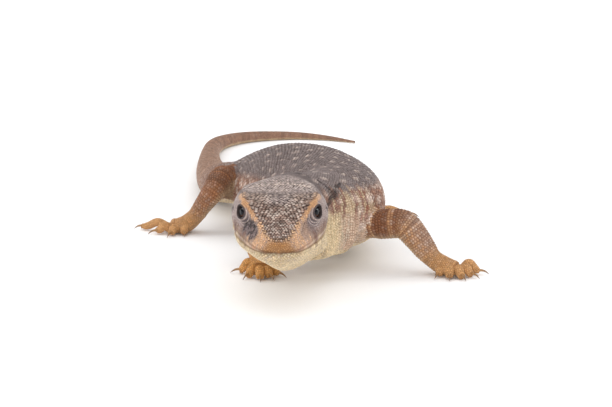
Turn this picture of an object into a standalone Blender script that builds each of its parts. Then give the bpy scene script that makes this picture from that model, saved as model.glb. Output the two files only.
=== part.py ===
"""A young savannah monitor, standing on its four feet with the tail laid round behind it on the floor.

The animal looks along -Y. Its left side is at +X, Z is up and the floor is at Z = 0. The tables hold
millimetres, measured from the tip of the snout, and become metres when a mesh is made. One surface,
skin_points, runs from the snout to the tip of the tail: head, neck, trunk and tail are lengths of it. Each
limb is a tube that starts just outside it.
"""

import math

import bmesh
import bpy
import numpy as np

MM = 0.001
GAP = 0.3  # between two pieces that touch
SHIFT = np.array((-0.6, 111.35, 0.0))  # from the snout's tip to the middle of the whole, on the floor
DOUBLED = 2e-6  # metres within which two vertices are one
NUDGE = 0.02  # a small step, to find which way a surface faces
FLOOR_LOW, FLOOR_HIGH = (-99.0, -99.0, -20.0), (99.0, 299.0, 0.0)  # the block that levels the soles

# The head, in its own frame: x to the side, y back from the snout's tip, z up from the front of the mouth.
# u is how far along the body a section lies, and swing how far its throat is carried to the left.
HEAD_PLACE = np.array((-5.9, 0.0, 15.1))
HEAD_PITCH = math.radians(3.4)
HEAD_COLUMNS = (
    "u", "y", "crown", "brow_w", "brow_z", "cheek_w", "cheek_z",
    "lip_w", "lip_z", "jaw_w", "jaw_z", "chin", "swing",
)
HEAD = (
    (0.0, 0.0, 0.0, 0.0, 0.0, 0.0, 0.0, 0.0, 0.0, 0.0, 0.0, 0.0, 0.0),
    (1.3, 0.15, 1.2, 0.9, 1.0, 1.4, 0.5, 1.5, 0.0, 1.2, -0.6, -1.1, 0.0),
    (2.8, 0.7, 2.4, 2.0, 2.1, 2.9, 1.0, 3.2, 0.0, 2.5, -1.2, -2.2, 0.0),
    (4.6, 1.9, 3.4, 3.0, 3.0, 4.1, 1.5, 4.6, -0.1, 3.6, -1.7, -3.3, 0.0),
    (7.2, 4.2, 4.5, 3.9, 4.0, 5.1, 2.0, 6.0, -0.2, 4.7, -2.2, -4.6, 0.0),
    (10.8, 7.6, 5.7, 4.9, 5.3, 6.2, 2.5, 7.3, -0.4, 5.7, -2.8, -5.9, 0.1),
    (14.0, 10.7, 6.9, 6.1, 6.5, 7.1, 2.9, 8.2, -0.6, 6.6, -3.3, -7.1, 0.4),
    (17.0, 13.6, 7.6, 7.3, 7.2, 8.2, 3.2, 9.0, -0.8, 7.3, -3.7, -8.1, 0.9),
    (22.0, 18.5, 8.1, 8.6, 7.5, 9.9, 3.4, 9.9, -1.0, 8.4, -4.4, -9.4, 2.2),
    (27.5, 24.0, 8.3, 8.9, 7.3, 10.5, 3.2, 10.2, -1.2, 9.2, -5.2, -10.2, 3.8),
    (32.0, 28.5, 8.7, 8.3, 7.2, 10.0, 2.8, 10.0, -1.3, 9.4, -5.8, -10.7, 4.8),
)
SECTION_AT = np.array((0.0, 0.14, 0.29, 0.42, 0.52, 0.67, 0.84, 1.0))  # its points, from crown to chin
LIP_AT = 0.52

# The body behind the head: its middle line's x, y and z, half its width, its reach up and down, and swing.
BODY_START = 36.5
BODY = (
    (-2.8, 35.5, 16.4, 9.6, 9.5, 10.4, 4.4),
    (1.2, 42.0, 15.5, 10.1, 9.2, 9.9, 3.0),
    (4.8, 48.5, 14.7, 11.2, 9.1, 9.5, 1.4),
    (6.4, 55.5, 14.1, 12.3, 9.5, 10.4, 0.4),
    (5.6, 64.0, 13.8, 13.9, 10.0, 11.8, 0.0),
    (3.6, 74.0, 13.3, 15.3, 10.6, 11.2, 0.0),
    (-0.6, 84.0, 13.0, 15.7, 10.8, 10.0, 0.0),
    (-6.2, 93.0, 12.4, 13.4, 9.8, 8.2, 0.0),
    (-11.8, 101.0, 11.2, 10.2, 7.8, 7.0, 0.0),
    (-17.4, 109.0, 9.6, 7.9, 5.2, 6.4, 0.0),
    (-21.6, 118.0, 7.6, 6.5, 5.0, 6.0, 0.0),
    (-24.4, 129.0, 5.9, 5.5, 4.6, 5.4, 0.0),
    (-26.4, 142.0, 4.7, 4.6, 4.2, 4.7, 0.0),
    (-27.8, 157.0, 3.9, 3.7, 3.7, 4.0, 0.0),
    (-28.5, 171.0, 3.3, 3.1, 3.2, 3.4, 0.0),
    (-28.8, 183.5, 2.9, 2.7, 2.8, 3.0, 0.0),
    (-28.4, 195.0, 2.6, 2.4, 2.5, 2.7, 0.0),
    (-25.8, 206.5, 2.2, 2.0, 2.1, 2.3, 0.0),
    (-20.0, 215.2, 1.9, 1.7, 1.8, 2.0, 0.0),
    (-11.4, 220.2, 1.6, 1.4, 1.5, 1.7, 0.0),
    (-1.8, 221.8, 1.3, 1.1, 1.2, 1.4, 0.0),
    (6.8, 219.8, 0.9, 0.8, 0.9, 1.0, 0.0),
    (15.4, 214.8, 0.5, 0.4, 0.5, 0.5, 0.0),
)
SQUARE_ABOVE, SQUARE_BELOW = 1.9, 2.5  # 2 would be an ellipse
CUTS = (33.5, 53.0, 128.0, 156.0, 184.0, 212.0, 242.0)  # parting head, neck, trunk and five lengths of tail

# On the head: the places are in its frame for the left side, or along the body and around it.
EYE_PLACE = np.array((6.8, 14.4, 5.5))
EYE_AXIS = np.array((0.88, -0.46, 0.12))
EYE_RADIUS = 2.1
LID_THICKNESS = 0.55
EYE_OPENING = (2.1, 1.9, 1.5)  # along the eye's axis, along the head and up
NOSTRIL_PLACE = (11.6, 0.36)
NOSTRIL_SIZE = (0.8, 1.0, 0.45)
NOSTRIL_TILT = math.radians(35.0)
EAR_PLACE = (29.2, 0.45)
EAR_SIZE = (1.2, 0.75, 1.5)
MOUTH_CORNER = 22.5
MOUTH_DEPTH = 0.5
MOUTH_WIDTH = 0.3
LIP_SWELL = 0.25
LIP_FROM_MOUTH = 1.1
LIP_WIDTH = 0.7

# Swellings and hollows of the head: how high, the place and reach around it, the place and reach along it.
FORMS = {
    "brow": (0.55, 0.29, 0.045, 14.5, 8.5),
    "before_the_eye": (-0.55, 0.38, 0.045, 11.0, 4.0),
    "temple": (0.5, 0.42, 0.11, 26.0, 4.0),
    "jaw_muscle": (0.5, 0.68, 0.14, 25.0, 4.5),
    "crown": (-0.35, 0.0, 0.12, 25.0, 7.0),
}
THROAT_FOLDS = ((0.6, 46.0, 2.0), (-0.9, 49.0, 1.3))  # how high, the place and reach along the throat
NECK_FOLD = (-0.5, 40.0, 1.2)  # the same, at the nape
NECK_FOLD_SLANT = 6.0  # how far back it runs on its way from the crown to the chin
NECK_FOLD_AT = (0.5, 0.22)  # its place and reach around the neck

# Along each limb: the place of its middle line, half its width and half its thickness.
LIMBS = {
    "left_arm": (
        (5.0, 55.0, 12.2, 5.0, 4.6),
        (12.6, 49.8, 11.2, 4.5, 4.1),
        (18.2, 46.4, 11.5, 4.0, 3.7),
        (23.4, 44.8, 11.5, 3.7, 3.5),
        (26.0, 44.0, 8.9, 3.4, 3.2),
        (28.2, 43.6, 6.0, 3.1, 2.8),
        (30.2, 43.0, 3.7, 2.7, 2.3),
        (32.6, 42.2, 2.3, 3.0, 2.3),
        (35.4, 41.2, 1.7, 3.1, 1.8),
    ),
    "right_arm": (
        (3.0, 56.6, 12.4, 5.0, 4.6),
        (-4.0, 56.6, 11.8, 4.5, 4.1),
        (-9.0, 55.8, 11.8, 4.0, 3.7),
        (-12.6, 53.8, 10.9, 3.6, 3.4),
        (-12.6, 51.0, 8.4, 3.3, 3.0),
        (-11.8, 48.6, 5.8, 2.9, 2.6),
        (-11.0, 46.4, 3.8, 2.7, 2.3),
        (-10.8, 44.2, 2.3, 3.0, 2.3),
        (-10.6, 41.4, 1.7, 3.1, 1.8),
    ),
    "left_leg": (
        (-12.0, 105.6, 10.6, 5.6, 5.2),
        (-4.4, 105.8, 10.8, 5.2, 5.0),
        (3.0, 102.8, 11.6, 4.5, 4.4),
        (9.4, 99.2, 12.0, 3.8, 3.7),
        (12.0, 99.8, 9.6, 3.2, 3.0),
        (11.6, 102.2, 6.4, 2.6, 2.4),
        (11.4, 104.4, 3.9, 2.5, 2.2),
        (13.8, 105.0, 2.3, 3.1, 2.3),
        (16.6, 105.2, 1.7, 3.3, 1.8),
    ),
    "right_leg": (
        (-12.0, 105.4, 10.4, 5.6, 5.2),
        (-17.6, 100.8, 10.8, 5.2, 5.0),
        (-20.8, 94.8, 11.8, 4.5, 4.4),
        (-22.0, 88.8, 13.0, 3.8, 3.7),
        (-23.8, 85.4, 11.2, 3.2, 3.0),
        (-26.4, 85.8, 7.6, 2.6, 2.4),
        (-28.6, 87.2, 4.3, 2.5, 2.2),
        (-31.0, 87.6, 2.3, 3.1, 2.3),
        (-33.8, 87.6, 1.7, 3.3, 1.8),
    ),
}
SEGMENTS = ("upper", "lower", "foot")
JOINTS = ((3, 0.4), (6, 0.6))  # where a limb is parted: after which station, and how far on to the next

# Each toe: where it leaves the foot, the tip of its claw, how thick it is and how high its knuckle arches.
TOES = {
    "left_arm": (
        (32.0, 40.6, 30.2, 37.0, 1.05, 0.6),
        (33.8, 39.8, 33.6, 34.8, 1.1, 0.8),
        (35.6, 39.6, 37.4, 34.8, 1.15, 0.9),
        (37.0, 40.4, 40.8, 37.4, 1.15, 1.0),
        (37.0, 42.2, 43.4, 42.0, 1.1, 1.6),
    ),
    "right_arm": (
        (-8.6, 41.4, -4.6, 38.4, 1.05, 0.6),
        (-9.6, 39.8, -7.4, 35.2, 1.1, 0.8),
        (-11.0, 39.4, -10.6, 33.8, 1.15, 0.9),
        (-12.2, 40.4, -14.8, 36.2, 1.15, 1.0),
        (-12.4, 43.0, -18.0, 43.4, 1.1, 1.6),
    ),
    "left_leg": (
        (14.6, 103.0, 17.6, 98.6, 1.1, 0.6),
        (16.6, 102.8, 22.6, 98.4, 1.15, 0.8),
        (18.0, 104.0, 27.0, 101.0, 1.15, 0.9),
        (18.4, 105.6, 30.0, 105.4, 1.15, 0.9),
        (16.4, 107.4, 21.0, 112.0, 1.1, 0.8),
    ),
    "right_leg": (
        (-31.4, 85.6, -31.0, 81.0, 1.05, 0.6),
        (-33.6, 85.0, -35.4, 80.4, 1.1, 0.8),
        (-35.2, 86.2, -40.6, 84.4, 1.15, 0.9),
        (-35.6, 88.0, -44.6, 91.4, 1.1, 1.2),
        (-33.4, 90.0, -36.0, 95.4, 1.05, 0.8),
    ),
}
CLAW_LENGTH = 2.0
CLAW_RADIUS = 0.45
# Along a claw: how far on, how high in toe thicknesses, and its size beside its root.
CLAW_SHAPE = ((0.0, 0.95, 1.0), (0.4, 1.0, 0.8), (0.75, 0.65, 0.5), (1.0, 0.18, 0.16))
CLAW_DEPTH = 1.15  # a claw is deeper than it is wide
TOE_STEPS = (-0.25, 0.0, 0.4, 0.75, 0.92, 1.0)  # how far on, from the foot to the claw
TOE_SIZES = (1.0, 1.1, 1.1, 1.0, 0.9, 0.8)
TOE_ROOT = 1.5  # the height at which a toe leaves the foot


def smooth(knots, rows, at):
    """Reads a table of rows at other places, along a smooth curve through its knots."""
    slopes = np.gradient(rows, knots, axis=0)
    at = np.asarray(at, dtype=float)
    low = np.clip(np.searchsorted(knots, at, side="right") - 1, 0, len(knots) - 2)
    shape = (len(at),) + (1,) * (rows.ndim - 1)
    step = (knots[low + 1] - knots[low]).reshape(shape)
    t = (at - knots[low]).reshape(shape) / step
    start = (2 * t**3 - 3 * t**2 + 1) * rows[low] + (t**3 - 2 * t**2 + t) * step * slopes[low]
    end = (3 * t**2 - 2 * t**3) * rows[low + 1] + (t**3 - t**2) * step * slopes[low + 1]
    return start + end


def unit(vectors):
    return vectors / np.maximum(np.linalg.norm(vectors, axis=-1, keepdims=True), 1e-9)


def lengths(points):
    """How far along a line of points each of them lies."""
    return np.concatenate(((0.0,), np.cumsum(np.linalg.norm(np.diff(points, axis=0), axis=1))))


def bump(distance, reach):
    """1 in the middle, falling smoothly to nothing a little past reach."""
    return np.exp(-((distance / reach) ** 2))


def head_to_body(points):
    """From the head's frame to the animal's."""
    cos, sin = math.cos(HEAD_PITCH), math.sin(HEAD_PITCH)
    turn = np.array(((1.0, 0.0, 0.0), (0.0, cos, -sin), (0.0, sin, cos)))
    return points @ turn.T + HEAD_PLACE


def under(around):
    """0 on the back and sides, growing to 1 beneath."""
    below = np.clip((np.abs(around) - 0.5) / 0.5, 0.0, 1.0)
    return below * below * (3.0 - 2.0 * below)


def head_ring(row, around):
    """A section of the head. Around it, 0 is the crown, 1 and -1 the chin, and the left side is positive."""
    size = dict(zip(HEAD_COLUMNS, row))
    half = np.array((
        (0.0, size["crown"]),
        (0.55 * size["brow_w"], 0.15 * size["brow_z"] + 0.85 * size["crown"]),
        (size["brow_w"], size["brow_z"]),
        (size["cheek_w"], size["cheek_z"]),
        (size["lip_w"], size["lip_z"]),
        (size["jaw_w"], size["jaw_z"]),
        (0.46 * size["jaw_w"], 0.38 * size["jaw_z"] + 0.62 * size["chin"]),
        (0.0, size["chin"]),
    ))
    other = half * (-1.0, 1.0)
    knots = np.concatenate((-SECTION_AT[3:0:-1], SECTION_AT, 2.0 - SECTION_AT[-2:-5:-1]))
    rows = np.concatenate((other[3:0:-1], half, other[-2:-5:-1]))
    section = smooth(knots, rows, np.abs(around))
    across = section[:, 0] * np.where(np.asarray(around) < 0.0, -1.0, 1.0) + size["swing"] * under(around)
    return head_to_body(np.stack((across, np.full(len(around), size["y"]), section[:, 1]), axis=1))


def body_ring(row, heading, around):
    """One section of the neck, trunk or tail, upright and across its heading."""
    x, y, z, half_width, up, down, swing = row
    angle = np.asarray(around) * math.pi
    across, upward = np.sin(angle), np.cos(angle)
    square = np.where(upward > 0.0, SQUARE_ABOVE, SQUARE_BELOW)
    across = half_width * np.sign(across) * np.abs(across) ** (2.0 / square) + swing * under(around)
    height = z + np.where(upward > 0.0, up, down) * np.sign(upward) * np.abs(upward) ** (2.0 / square)
    return np.stack((x + across * heading[1], y - across * heading[0], height), axis=1)


HEADINGS = unit(np.gradient(np.array(BODY)[:, :2], axis=0))
STATIONS = np.concatenate(([row[0] for row in HEAD], BODY_START + lengths(np.array(BODY)[:, :2])))


def body_points(along, around):
    """The plain surface, from snout to tail tip, as a grid of points."""
    rings = [head_ring(row, around) for row in HEAD]
    rings += [body_ring(row, heading, around) for row, heading in zip(BODY, HEADINGS)]
    return smooth(STATIONS, np.array(rings), along)


def girths(steps=60):
    """Half the way round the body at each station."""
    grid = body_points(STATIONS, np.linspace(0.0, 1.0, steps))
    return np.linalg.norm(np.diff(grid, axis=1), axis=2).sum(axis=1)


GIRTHS = girths()


def relief(along, around):
    """How far the skin stands out of the plain surface, or sinks into it."""
    u, v = np.meshgrid(along, np.abs(around), indexing="ij")
    from_lip = (v - LIP_AT) * np.interp(u, STATIONS, GIRTHS)
    closed = np.clip((MOUTH_CORNER - u) / 1.5, 0.0, 1.0)
    lips = LIP_SWELL * bump(np.abs(from_lip) - LIP_FROM_MOUTH, LIP_WIDTH)
    mouth = MOUTH_DEPTH * bump(from_lip, MOUTH_WIDTH)
    forms = 0.0
    for high, around_at, around_reach, along_at, along_reach in FORMS.values():
        forms = forms + high * bump(v - around_at, around_reach) * bump(u - along_at, along_reach)
    below = np.clip((v - 0.45) / 0.2, 0.0, 1.0)
    for high, along_at, along_reach in THROAT_FOLDS:
        forms = forms + below * high * bump(u - along_at, along_reach)
    high, along_at, along_reach = NECK_FOLD
    at_the_side = bump(v - NECK_FOLD_AT[0], NECK_FOLD_AT[1])
    forms = forms + high * bump(u - along_at - NECK_FOLD_SLANT * v, along_reach) * at_the_side
    behind_the_tip = np.clip(u / 3.0, 0.0, 1.0)
    return closed * (lips - mouth) + behind_the_tip * forms


def skin_points(along, around, grow=0.0):
    """The surface with its folds and grooves, moved out by grow, and the way out of it at each point."""
    along, around = np.asarray(along, dtype=float), np.asarray(around, dtype=float)
    back = body_points(along + NUDGE, around) - body_points(np.maximum(along - NUDGE, 0.0), around)
    down = body_points(along, around + 0.1 * NUDGE) - body_points(along, around - 0.1 * NUDGE)
    outward = unit(np.cross(down, back))
    outward[along < NUDGE] = (0.0, -1.0, 0.0)
    points = body_points(along, around) + outward * (relief(along, around) + grow)[..., None]
    points[..., 2] = np.maximum(points[..., 2], 0.0)
    return points, outward


def limb_points(rows, along, around, grow=0.0):
    """A tube along a limb's stations, as a grid of points. Its far end lies level."""
    rows = np.array(rows, dtype=float)
    reach = lengths(rows[:, :3])
    fine = np.linspace(0.0, reach[-1], 81)
    ways = unit(np.gradient(smooth(reach, rows[:, :3], fine), axis=0))
    sides = [np.cross(ways[-1], (0.0, 0.0, 1.0))]
    for way in ways[::-1]:
        sides.append(unit(sides[-1] - np.dot(sides[-1], way) * way))
    sides = np.array(sides[:0:-1])
    way = unit(np.stack([np.interp(along, fine, ways[:, axis]) for axis in range(3)], axis=1))
    side = np.stack([np.interp(along, fine, sides[:, axis]) for axis in range(3)], axis=1)
    side = unit(side - (side * way).sum(axis=1, keepdims=True) * way)
    top = np.cross(side, way)
    found = smooth(reach, rows, along)
    angle = np.asarray(around) * math.pi
    across = np.sin(angle)[None, :, None] * (found[:, 3] + grow)[:, None, None] * side[:, None]
    upward = np.cos(angle)[None, :, None] * (found[:, 4] + grow)[:, None, None] * top[:, None]
    return found[:, None, :3] + across + upward


def ring_places(count):
    """That many places round a tube."""
    return np.linspace(-1.0, 1.0, count, endpoint=False)


def body_places(coarse, fine=None, fine_from=0.44, fine_to=0.60):
    """Places round the body, the same on both sides, and if wanted closer together near the lips."""
    steps = ((0.0, fine_from, coarse), (fine_from, fine_to, fine or coarse), (fine_to, 1.0, coarse))
    runs = [np.linspace(low, high, round((high - low) / step), endpoint=False) for low, high, step in steps]
    half = np.concatenate(runs + [(1.0,)])
    return np.concatenate((-half[-2:0:-1], half))


def loft(grid):
    """Vertices and faces of a tube through a grid of rings, with its ends closed."""
    rings, around = grid.shape[:2]
    points = list(grid.reshape(-1, 3))
    faces = []
    for low in range(0, (rings - 1) * around, around):
        for column in range(around):
            after = (column + 1) % around
            faces.append((low + column, low + after, low + around + after, low + around + column))
    for first in (0, (rings - 1) * around):
        hub = len(points)
        points.append(np.mean(points[first:first + around], axis=0))
        faces += [(hub, first + column, first + (column + 1) % around) for column in range(around)]
    return points, faces


def several(shapes):
    """The vertices and faces of more shapes, that don't touch, in one."""
    points, faces = [], []
    for more_points, more_faces in shapes:
        faces += [tuple(len(points) + index for index in face) for face in more_faces]
        points += list(more_points)
    return points, faces


def ball(centre, axes, radii, segments, rings):
    """The vertices and faces of an ellipsoid, its axes given as rows and its poles on the first."""
    sphere = bmesh.new()
    bmesh.ops.create_uvsphere(sphere, u_segments=segments, v_segments=rings, radius=1.0)
    points = [centre + (np.array(vert.co.zxy) * radii) @ axes for vert in sphere.verts]
    faces = [tuple(vert.index for vert in face.verts) for face in sphere.faces]
    sphere.free()
    return points, faces


def block(low, high):
    """The vertices and faces of a box between two corners."""
    cube = bmesh.new()
    bmesh.ops.create_cube(cube, size=1.0)
    low, high = np.array(low), np.array(high)
    points = [low + (np.array(vert.co) + 0.5) * (high - low) for vert in cube.verts]
    faces = [tuple(vert.index for vert in face.verts) for face in cube.faces]
    cube.free()
    return points, faces


def axes_from(out, along):
    """Three unit axes as rows: out, as near to along as can be, and across both."""
    out = unit(out)
    along = unit(along - np.dot(along, out) * out)
    return np.array((out, along, np.cross(out, along)))


def eye_ball(side, radii, out_by=0.0, segments=20, rings=12):
    """An ellipsoid at an eye, its radii along the eye's axis, along the head and up."""
    centre = head_to_body(EYE_PLACE * (side, 1.0, 1.0))
    axis = head_to_body(EYE_AXIS * (side, 1.0, 1.0)) - HEAD_PLACE
    axes = axes_from(axis, np.array((0.0, 1.0, 0.0)))
    return ball(centre + out_by * axes[0], axes, radii, segments, rings)


def pit(side, place, radii, tilt=0.0):
    """An ellipsoid half in the head's skin, its radii inwards, along the head and across that."""
    points, outward = skin_points((place[0],), (side * place[1],))
    back = np.array((0.0, math.cos(tilt), math.sin(tilt)))
    return ball(points[0, 0], axes_from(outward[0, 0], back), radii, 12, 8)


def claw_rows(base, tip, thickness):
    """Stations of a claw that leaves its toe level and curves down to the floor."""
    way = unit(tip - base)
    rows = []
    for step, height, size in CLAW_SHAPE:
        x, y = tip - (1.0 - step) * CLAW_LENGTH * way
        rows.append((x, y, height * thickness, size * CLAW_RADIUS, size * CLAW_RADIUS * CLAW_DEPTH))
    return rows


def toe_rows(base, tip, thickness, arch):
    """Stations of a toe, from inside the foot over its knuckle to where the claw starts."""
    way = unit(tip - base)
    length = np.linalg.norm(tip - base) - CLAW_LENGTH - GAP
    knuckle = thickness * np.array((1.0 + arch, 0.65 + 0.45 * arch, 0.85, 0.8))
    heights = (TOE_ROOT, TOE_ROOT, *knuckle)
    sizes = thickness * np.array(TOE_SIZES)
    places = base + np.array(TOE_STEPS)[:, None] * length * way
    return [(x, y, height, size, size) for (x, y), height, size in zip(places, heights, sizes)]


def new_collection(name):
    made = bpy.data.collections.new(name)
    bpy.context.scene.collection.children.link(made)
    return made


def new_material(name, colour, roughness):
    material = bpy.data.materials.new(name)
    material.use_nodes = True
    shader = material.node_tree.nodes["Principled BSDF"]
    shader.inputs["Base Color"].default_value = (*colour, 1.0)
    shader.inputs["Roughness"].default_value = roughness
    shader.inputs["Metallic"].default_value = 0.0
    return material


def new_object(name, shape, collection, material=None):
    """A mesh object from vertices in millimetres, with doubled ones made one and faces turned outwards."""
    points, faces = shape
    mesh = bpy.data.meshes.new(name)
    mesh.from_pydata([tuple((np.array(point) - SHIFT) * MM) for point in points], [], faces)
    shaped = bmesh.new()
    shaped.from_mesh(mesh)
    bmesh.ops.remove_doubles(shaped, verts=shaped.verts, dist=DOUBLED)
    bmesh.ops.recalc_face_normals(shaped, faces=shaped.faces)
    shaped.to_mesh(mesh)
    shaped.free()
    mesh.shade_smooth()
    mesh.set_sharp_from_angle(angle=math.radians(45.0))
    if material is not None:
        mesh.materials.append(material)
    made = bpy.data.objects.new(name, mesh)
    collection.objects.link(made)
    return made


def new_cutter(name, shape, collection):
    """An object that is joined to others or taken away from them, and isn't seen."""
    made = new_object(name, shape, collection)
    made.hide_render = True
    made.display_type = "WIRE"
    return made


def combine(target, other, operation="DIFFERENCE"):
    step = target.modifiers.new(other.name, "BOOLEAN")
    step.operation = operation
    step.object = other
    step.solver = "MANIFOLD"


def keep_largest(made):
    """Makes the mesh plain and leaves out any scrap that the unions part from it."""
    evaluated = made.evaluated_get(bpy.context.evaluated_depsgraph_get())
    made.data = bpy.data.meshes.new_from_object(evaluated)
    made.modifiers.clear()
    shaped = bmesh.new()
    shaped.from_mesh(made.data)
    left, surfaces = set(shaped.verts), []
    while left:
        front = {left.pop()}
        surface = set(front)
        while front:
            front = {edge.other_vert(vert) for vert in front for edge in vert.link_edges} & left
            left -= front
            surface |= front
        surfaces.append(surface)
    surfaces.sort(key=len)
    scraps = [vert for surface in surfaces[:-1] for vert in surface]
    bmesh.ops.delete(shaped, geom=scraps, context="VERTS")
    shaped.to_mesh(made.data)
    shaped.free()


def head_along(count):
    """Places along the head, closer together at the snout."""
    t = np.linspace(0.0, 1.0, count)
    return CUTS[0] * (0.35 * t**2 + 0.65 * t)


def build_head(animal, cutters, material):
    grid = skin_points(head_along(36), body_places(0.05, 0.023))[0]
    head = new_object("head", loft(grid), animal, material)
    socket = EYE_RADIUS + GAP
    steps = (
        ("lids", "UNION", lambda side: eye_ball(side, (socket + LID_THICKNESS,) * 3)),
        ("sockets", "DIFFERENCE", lambda side: eye_ball(side, (socket,) * 3)),
        ("lid_openings", "DIFFERENCE", lambda side: eye_ball(side, EYE_OPENING, EYE_RADIUS)),
        ("nostrils", "DIFFERENCE", lambda side: pit(side, NOSTRIL_PLACE, NOSTRIL_SIZE, NOSTRIL_TILT)),
        ("ears", "DIFFERENCE", lambda side: pit(side, EAR_PLACE, EAR_SIZE)),
    )
    for name, operation, shape in steps:
        combine(head, new_cutter(name, several((shape(-1.0), shape(1.0))), cutters), operation)


def build_body(animal, skin, tail_skin):
    """Neck, trunk and the lengths of the tail, each a little short of the next."""
    pieces = (
        ("neck", 11, 0.0625, skin),
        ("trunk", 25, 0.0556, skin),
        ("tail_1", 10, 0.1, tail_skin),
        ("tail_2", 10, 0.1, tail_skin),
        ("tail_3", 10, 0.125, tail_skin),
        ("tail_4", 10, 0.125, tail_skin),
        ("tail_5", 11, 0.167, tail_skin),
    )
    for (name, count, step, material), start, end in zip(pieces, CUTS, CUTS[1:] + (STATIONS[-1] + GAP,)):
        along = np.linspace(start + GAP, end - (0.0 if end < STATIONS[-1] else GAP), count)
        new_object(name, loft(skin_points(along, body_places(step))[0]), animal, material)


def build_limb(name, animal, cutters, trunk_cutter, floor_cutter, materials):
    """A limb in three lengths, the last with its toes, and the claws in front of them."""
    rows = LIMBS[name]
    reach = lengths(np.array(rows)[:, :3])
    parted = [reach[index] + share * (reach[index + 1] - reach[index]) for index, share in JOINTS]
    starts = [0.0] + [place + GAP / 2 for place in parted]
    ends = [place - GAP / 2 for place in parted] + [reach[-1]]
    parts = []
    for segment, start, end, count in zip(SEGMENTS, starts, ends, (11, 9, 8)):
        grid = limb_points(rows, np.linspace(start, end, count), ring_places(14))
        material = materials["foot_skin" if segment == "foot" else "leg_skin"]
        parts.append(new_object(f"{name}_{segment}", loft(grid), animal, material))
    combine(parts[0], trunk_cutter)
    bend = limb_points(rows, np.linspace(starts[1], ends[1], 9), ring_places(14), GAP)
    combine(parts[0], new_cutter(f"{name}_bend_with_gap", loft(bend), cutters))
    for number, (base_x, base_y, tip_x, tip_y, thickness, arch) in enumerate(TOES[name], start=1):
        base, tip = np.array((base_x, base_y)), np.array((tip_x, tip_y))
        toe = toe_rows(base, tip, thickness, arch)
        places = np.linspace(0.0, lengths(np.array(toe)[:, :3])[-1], 7)
        toe_shape = loft(limb_points(toe, places, ring_places(8)))
        combine(parts[2], new_cutter(f"{name}_toe_{number}", toe_shape, cutters), "UNION")
        claw = claw_rows(base, tip, thickness)
        places = np.linspace(0.0, lengths(np.array(claw)[:, :3])[-1], 4)
        grid = limb_points(claw, places, ring_places(6))
        new_object(f"{name}_claw_{number}", loft(grid), animal, materials["claw"])
    combine(parts[2], floor_cutter)
    keep_largest(parts[2])


def build():
    animal = new_collection("savannah_monitor")
    cutters = new_collection("cutters")
    materials = {
        "head_skin": new_material("head_skin", (0.42, 0.30, 0.22), 0.6),
        "body_skin": new_material("body_skin", (0.30, 0.22, 0.17), 0.65),
        "tail_skin": new_material("tail_skin", (0.40, 0.29, 0.22), 0.65),
        "leg_skin": new_material("leg_skin", (0.38, 0.24, 0.13), 0.65),
        "foot_skin": new_material("foot_skin", (0.50, 0.33, 0.14), 0.65),
        "claw": new_material("claw", (0.05, 0.04, 0.035), 0.35),
        "eye": new_material("eye", (0.015, 0.014, 0.016), 0.05),
    }
    build_head(animal, cutters, materials["head_skin"])
    build_body(animal, materials["body_skin"], materials["tail_skin"])
    for name, side in (("eye_right", -1.0), ("eye_left", 1.0)):
        shape = eye_ball(side, (EYE_RADIUS,) * 3, segments=16, rings=10)
        new_object(name, shape, animal, materials["eye"])
    trunk = skin_points(np.linspace(30.0, 150.0, 60), body_places(0.05), GAP)[0]
    trunk_cutter = new_cutter("trunk_with_gap", loft(trunk), cutters)
    floor_cutter = new_cutter("under_the_floor", block(FLOOR_LOW, FLOOR_HIGH), cutters)
    for name in LIMBS:
        build_limb(name, animal, cutters, trunk_cutter, floor_cutter, materials)


for left_over in list(bpy.data.objects):
    bpy.data.objects.remove(left_over)
build()
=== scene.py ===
# %% [markdown]
# # A young savannah monitor, face to face
#
# A lizard is a bag of soft skin with thousands of small hard scales on it. This lesson makes it in that
# order: first one closed skin over the whole animal, with lids, lips and folds, then the scales, row by
# row, as a solid mesh that stands on the skin, then the eyes and claws, and last the light.
# All the shapes are worked out in millimetres, measured from the tip of the snout, as a keeper would
# measure the animal, and become metres when a mesh is made.

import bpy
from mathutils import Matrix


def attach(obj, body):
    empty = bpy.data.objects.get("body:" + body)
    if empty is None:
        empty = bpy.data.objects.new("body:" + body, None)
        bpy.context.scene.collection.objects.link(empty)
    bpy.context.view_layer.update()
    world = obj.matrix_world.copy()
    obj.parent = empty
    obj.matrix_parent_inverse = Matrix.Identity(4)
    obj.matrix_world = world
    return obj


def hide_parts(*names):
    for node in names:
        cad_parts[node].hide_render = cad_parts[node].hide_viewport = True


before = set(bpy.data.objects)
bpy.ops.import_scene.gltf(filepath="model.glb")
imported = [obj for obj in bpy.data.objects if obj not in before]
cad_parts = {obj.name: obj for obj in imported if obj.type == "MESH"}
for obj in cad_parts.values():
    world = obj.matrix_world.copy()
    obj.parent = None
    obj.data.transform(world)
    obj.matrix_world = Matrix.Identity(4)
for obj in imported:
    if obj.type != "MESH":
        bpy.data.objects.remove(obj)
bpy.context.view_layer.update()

# %% The modules, and a few values that all cells share
import math

import bmesh
import bpy
import numpy as np
from mathutils.bvhtree import BVHTree
from mathutils.kdtree import KDTree

MM = 0.001
SHIFT = np.array((-0.6, 111.35, 0.0))  # from the snout's tip to the middle of the whole, on the floor
SKIN_DEPTH = 0.2  # how far the skin lies inside the solid's surface, to leave room for the scales
RANDOM = np.random.default_rng(11)

# %% [markdown]
# ## The form
#
# The same few tables that shaped the solids shape the skin. Each row of HEAD and BODY is one section
# across the animal, and each row of LIMBS is one place along the middle of a leg. A smooth curve is read
# through them, so that a dozen rows give any number of rings. A sculpted mesh could hold the form too, but
# here every width and height keeps a name, and the scales can ask the same functions where the skin is.

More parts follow.
